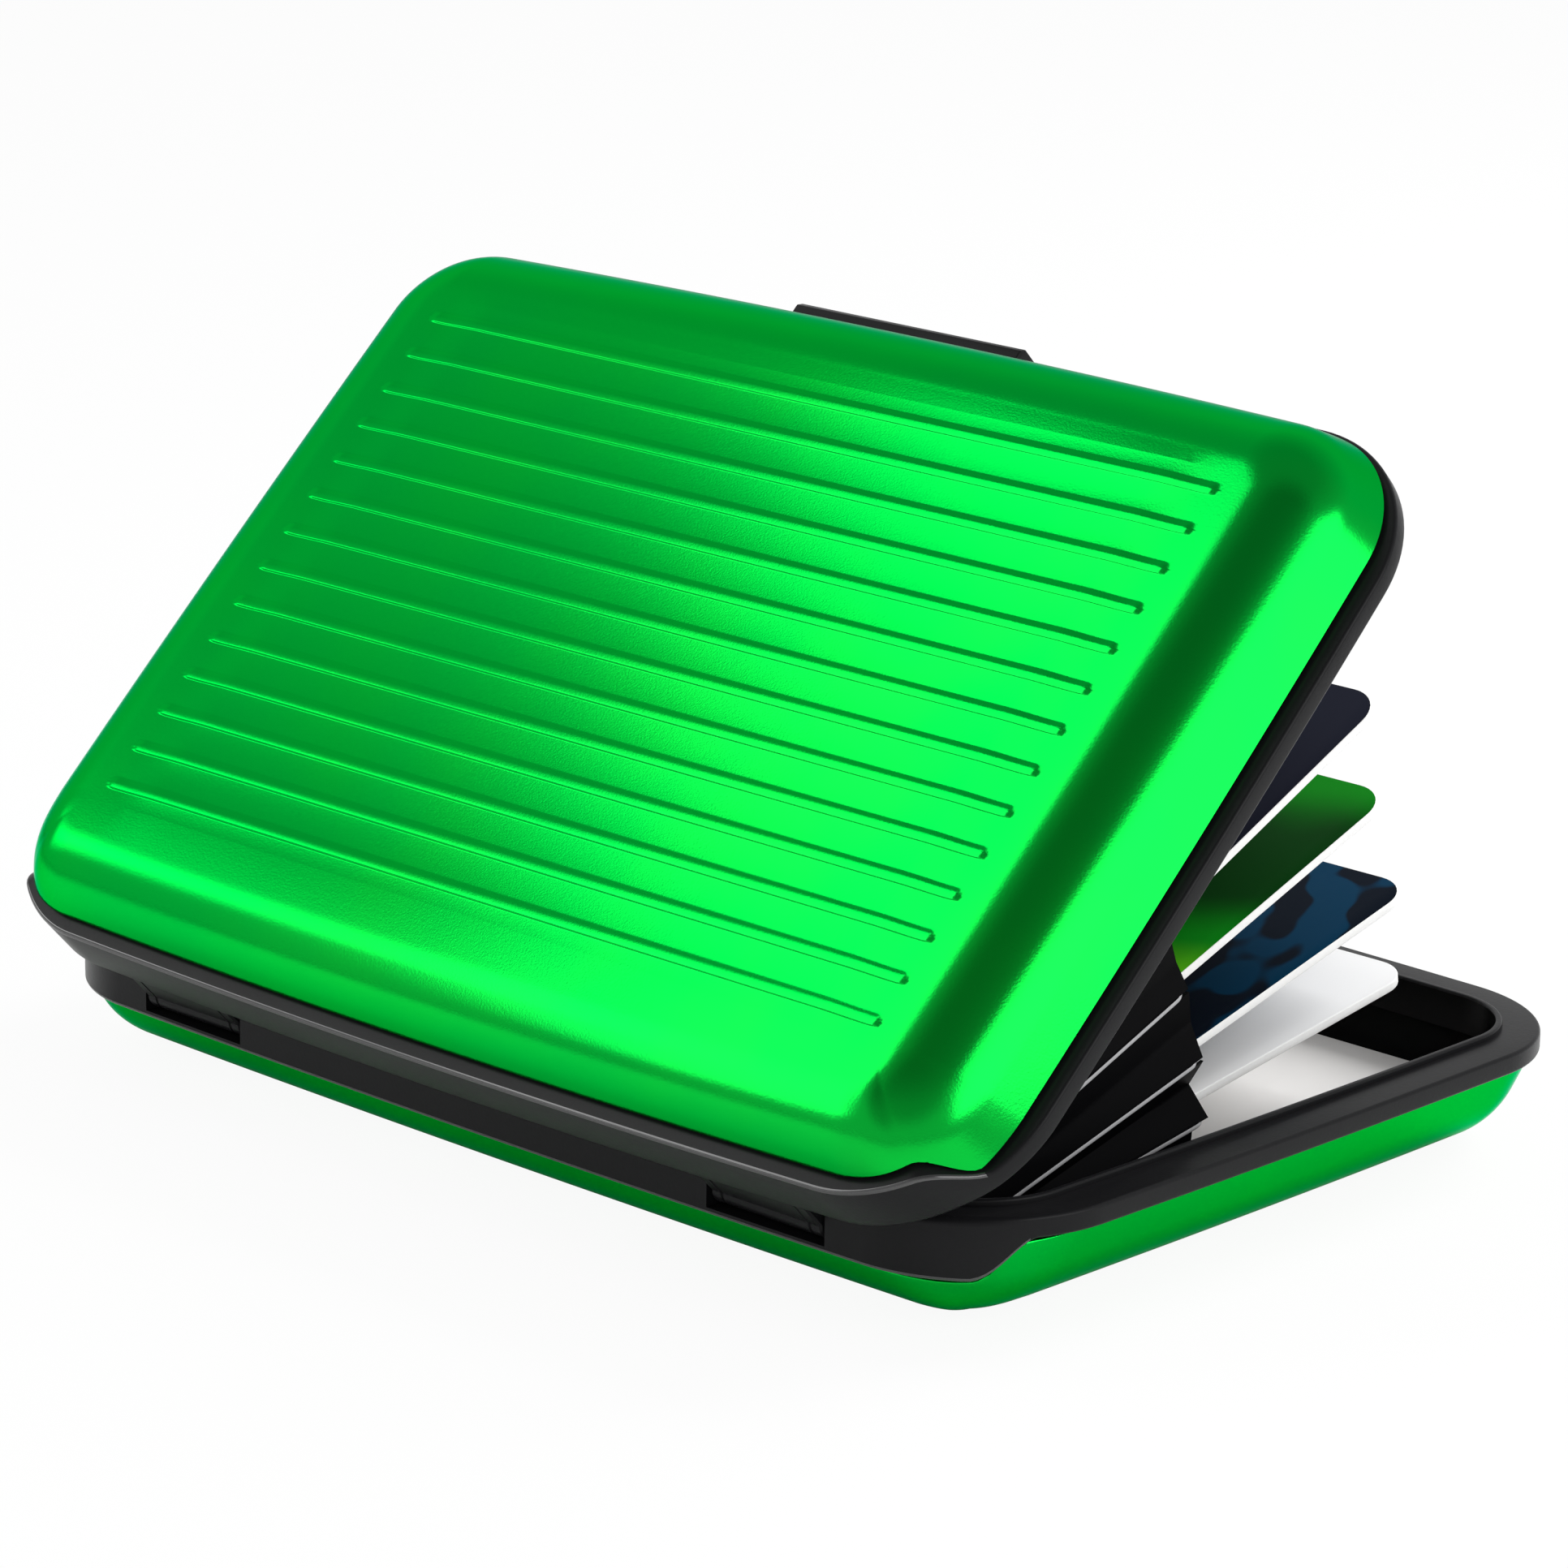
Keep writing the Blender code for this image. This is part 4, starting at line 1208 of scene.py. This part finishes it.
def halfway(lower, upper):
    """Directions square to and along the plane halfway between two bodies."""
    lean = (turns[lower] + turns[upper]) / 2
    return Vector((0.0, -math.sin(lean), math.cos(lean))), Vector((0.0, math.cos(lean), math.sin(lean)))


def fold_copy(node, rise, run):
    """The construction's fold, grown to meet its neighbours, with enough edges along it to bend."""
    shape = bmesh.new()
    shape.from_mesh(frame["nodes"][node].data)
    bmesh.ops.remove_doubles(shape, verts=shape.verts, dist=0.000001)
    bmesh.ops.dissolve_limit(shape, angle_limit=math.radians(1), verts=shape.verts, edges=shape.edges)
    heights = [rise.dot(vertex.co) for vertex in shape.verts]
    depths = [run.dot(vertex.co) for vertex in shape.verts]
    middle_height, middle_depth = (min(heights) + max(heights)) / 2, (min(depths) + max(depths)) / 2
    for vertex, height, depth in zip(shape.verts, heights, depths):
        if node.startswith("spine"):
            vertex.co.x += math.copysign(SPINE_GROWTH, vertex.co.x)
            continue
        vertex.co += rise * min(max(height - middle_height, -FOLD_SEAM), FOLD_SEAM)
        if depth < middle_depth:
            vertex.co -= run * GUSSET_GROWTH
    bmesh.ops.subdivide_edges(shape, edges=shape.edges, cuts=FOLD_LENGTH_CUTS, use_grid_fill=True)
    return shape


def bend_fold(item, rise, lower, upper):
    """Works out how far a fold spans across the plane halfway between two bodies, and, for the topmost fold,
    where a bend eased in and out would start at the pocket's share of the lid's turn.

    Nothing uses these numbers and no point moves: the fold only has its transform put into its mesh.
    """
    heights = [rise.dot(vertex.co) for vertex in item.data.vertices]
    start, end = min(heights), max(heights)
    if upper == "lid":
        taken = turns[lower] / turns[upper]
        start_share = 0.5 - math.sin(math.asin(1 - 2 * taken) / 3)
        start = end - (end - start) / (1 - start_share)
        lower = "base"
    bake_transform(item)


for kind in ("gusset_left_%d", "gusset_right_%d", "spine_%d"):
    for number, bodies in enumerate(zip(divider_bodies, divider_bodies[1:]), start=1):
        node = kind % number
        rise, run = halfway(*bodies)
        mesh = mesh_of(fold_copy(node, rise, run), node + "_dressed")
        item = linked(mesh.name, mesh, black_film)
        mesh.shade_smooth()
        mesh.set_sharp_from_angle(angle=SHARP_FROM)
        bend_fold(item, rise, *bodies)
        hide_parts(node)

# %% [markdown]
# The pins and the latch's spring keep the construction's mesh, which is round enough, and get drawn steel.

# %% Steel in the construction's own slots
for node in ("hinge_pin_left", "hinge_pin_right", "latch_pin", "latch_spring"):
    item = frame["nodes"][node]
    for place in item.material_slots:
        place.material = drawn_steel
print("steel on four pieces")

# %% [markdown]
# ## Stage and light
#
# The photograph was taken on a white sweep. The floor here is pale, and the camera sees it nearly white,
# while the metal reflects a studio of soft boxes in a greyer room. A box behind the camera's left lights the
# right part of the lid's flat top, and three smaller ones, one inside the other, draw a streak that fades out.
# Overhead the room is darker, and darkest in a gap that the lid's round edge mirrors as a dark band. A low box on
# the right fills the end wall, and one behind lights the cards but isn't mirrored.

# %% Floor and room
FLOOR_REACH = 2.0
SEEN_WHITE = 0.93
DARK_GAP = (0.321, -0.557, 0.766)
# Where each shade of the room starts and ends, and how bright the room is before and after it
OVERHEAD_SHADE = (0.55, 0.9, 0.68, 0.35)
GAP_SHADE = (0.74, 0.93, 1.0, 0.55)

sweep = Finish("pale sweep")
speck = sweep.noise(sweep.place(), 30.0, 2.0)
pale = sweep.wear(
    Base_Color=sweep.blend(speck, (0.93, 0.93, 0.93), (0.90, 0.90, 0.90)),
    Roughness=0.6,
)
glow = sweep.add("ShaderNodeEmission", {}, {"Color": (1, 1, 1, 1), "Strength": 1.0})
seen = sweep.add("ShaderNodeLightPath", {}, {}, "Is Camera Ray")
shader = Wire(sweep, sweep.principled.outputs[0])
mixed = sweep.add("ShaderNodeMixShader", {}, {0: seen * SEEN_WHITE, 1: shader, 2: glow})
sweep.put(sweep.group.nodes["Material Output"].inputs["Surface"], mixed)
floor_shape = bmesh.new()
bmesh.ops.create_grid(floor_shape, x_segments=8, y_segments=8, size=FLOOR_REACH)
floor = linked("floor", mesh_of(floor_shape, "floor", outward=False), pale)

world = bpy.data.worlds.new("room")
scene.world = world
world.use_nodes = True
room = Tree(world.node_tree)
right, ahead, up = room.xyz(room.add("ShaderNodeTexCoord", {}, {}, "Generated"))
seen = room.add("ShaderNodeLightPath", {}, {}, "Is Camera Ray")
to_gap = right * DARK_GAP[0] + ahead * DARK_GAP[1] + up * DARK_GAP[2]
walls = room.ramp(up, *OVERHEAD_SHADE) * room.ease(to_gap, *GAP_SHADE)
background = world.node_tree.nodes["Background"]
room.put(background.inputs["Color"], (1.0, 1.0, 1.0, 1.0))
room.put(background.inputs["Strength"], seen + (1.0 - seen) * walls)
print("floor and room")


# %% Lamps
def soft_box(name, at, facing, along, size, radiance):
    """A rectangular lamp. facing is the way it shines, and along the way its first side runs."""
    data = bpy.data.lights.new(name, "AREA")
    data.shape = "RECTANGLE"
    data.size, data.size_y = size
    data.energy = radiance * math.pi * size[0] * size[1]
    back = -Vector(facing).normalized()
    first = Vector(along)
    first = (first - back * first.dot(back)).normalized()
    lamp = bpy.data.objects.new(name, data)
    scene.collection.objects.link(lamp)
    axes = Matrix([first, back.cross(first), back]).transposed()
    lamp.matrix_world = Matrix.Translation(at) @ axes.to_4x4()
    lamp.visible_camera = False
    return lamp


FROM_LEFT = ((0.686, 0.209, -0.697), (0.690, -0.489, 0.533))
STREAK_SIZE = (0.050, 0.032)
soft_box("panel box", (-0.1227, -0.169, 0.1608), *FROM_LEFT, (0.092, 0.318), 1.95)
for number, growth in enumerate((1.0, 1.7, 2.6), start=1):
    at = (-0.1977 + 0.004 * number, -0.1195, 0.1108)
    size = [side * growth for side in STREAK_SIZE]
    soft_box("streak box %d" % number, at, *FROM_LEFT, size, 0.85)
soft_box("end box", (0.28, 0.003, 0.144), (-0.904, -0.063, -0.423), (0.0, 1.0, 0.0), (0.24, 0.17), 2.2)
card_fill = soft_box(
    "card fill", (0.10, 0.42, 0.36), (-0.15, -0.75, -0.65), (1.0, 0.0, 0.0), (0.30, 0.30), 9.5
)
card_fill.visible_glossy = False
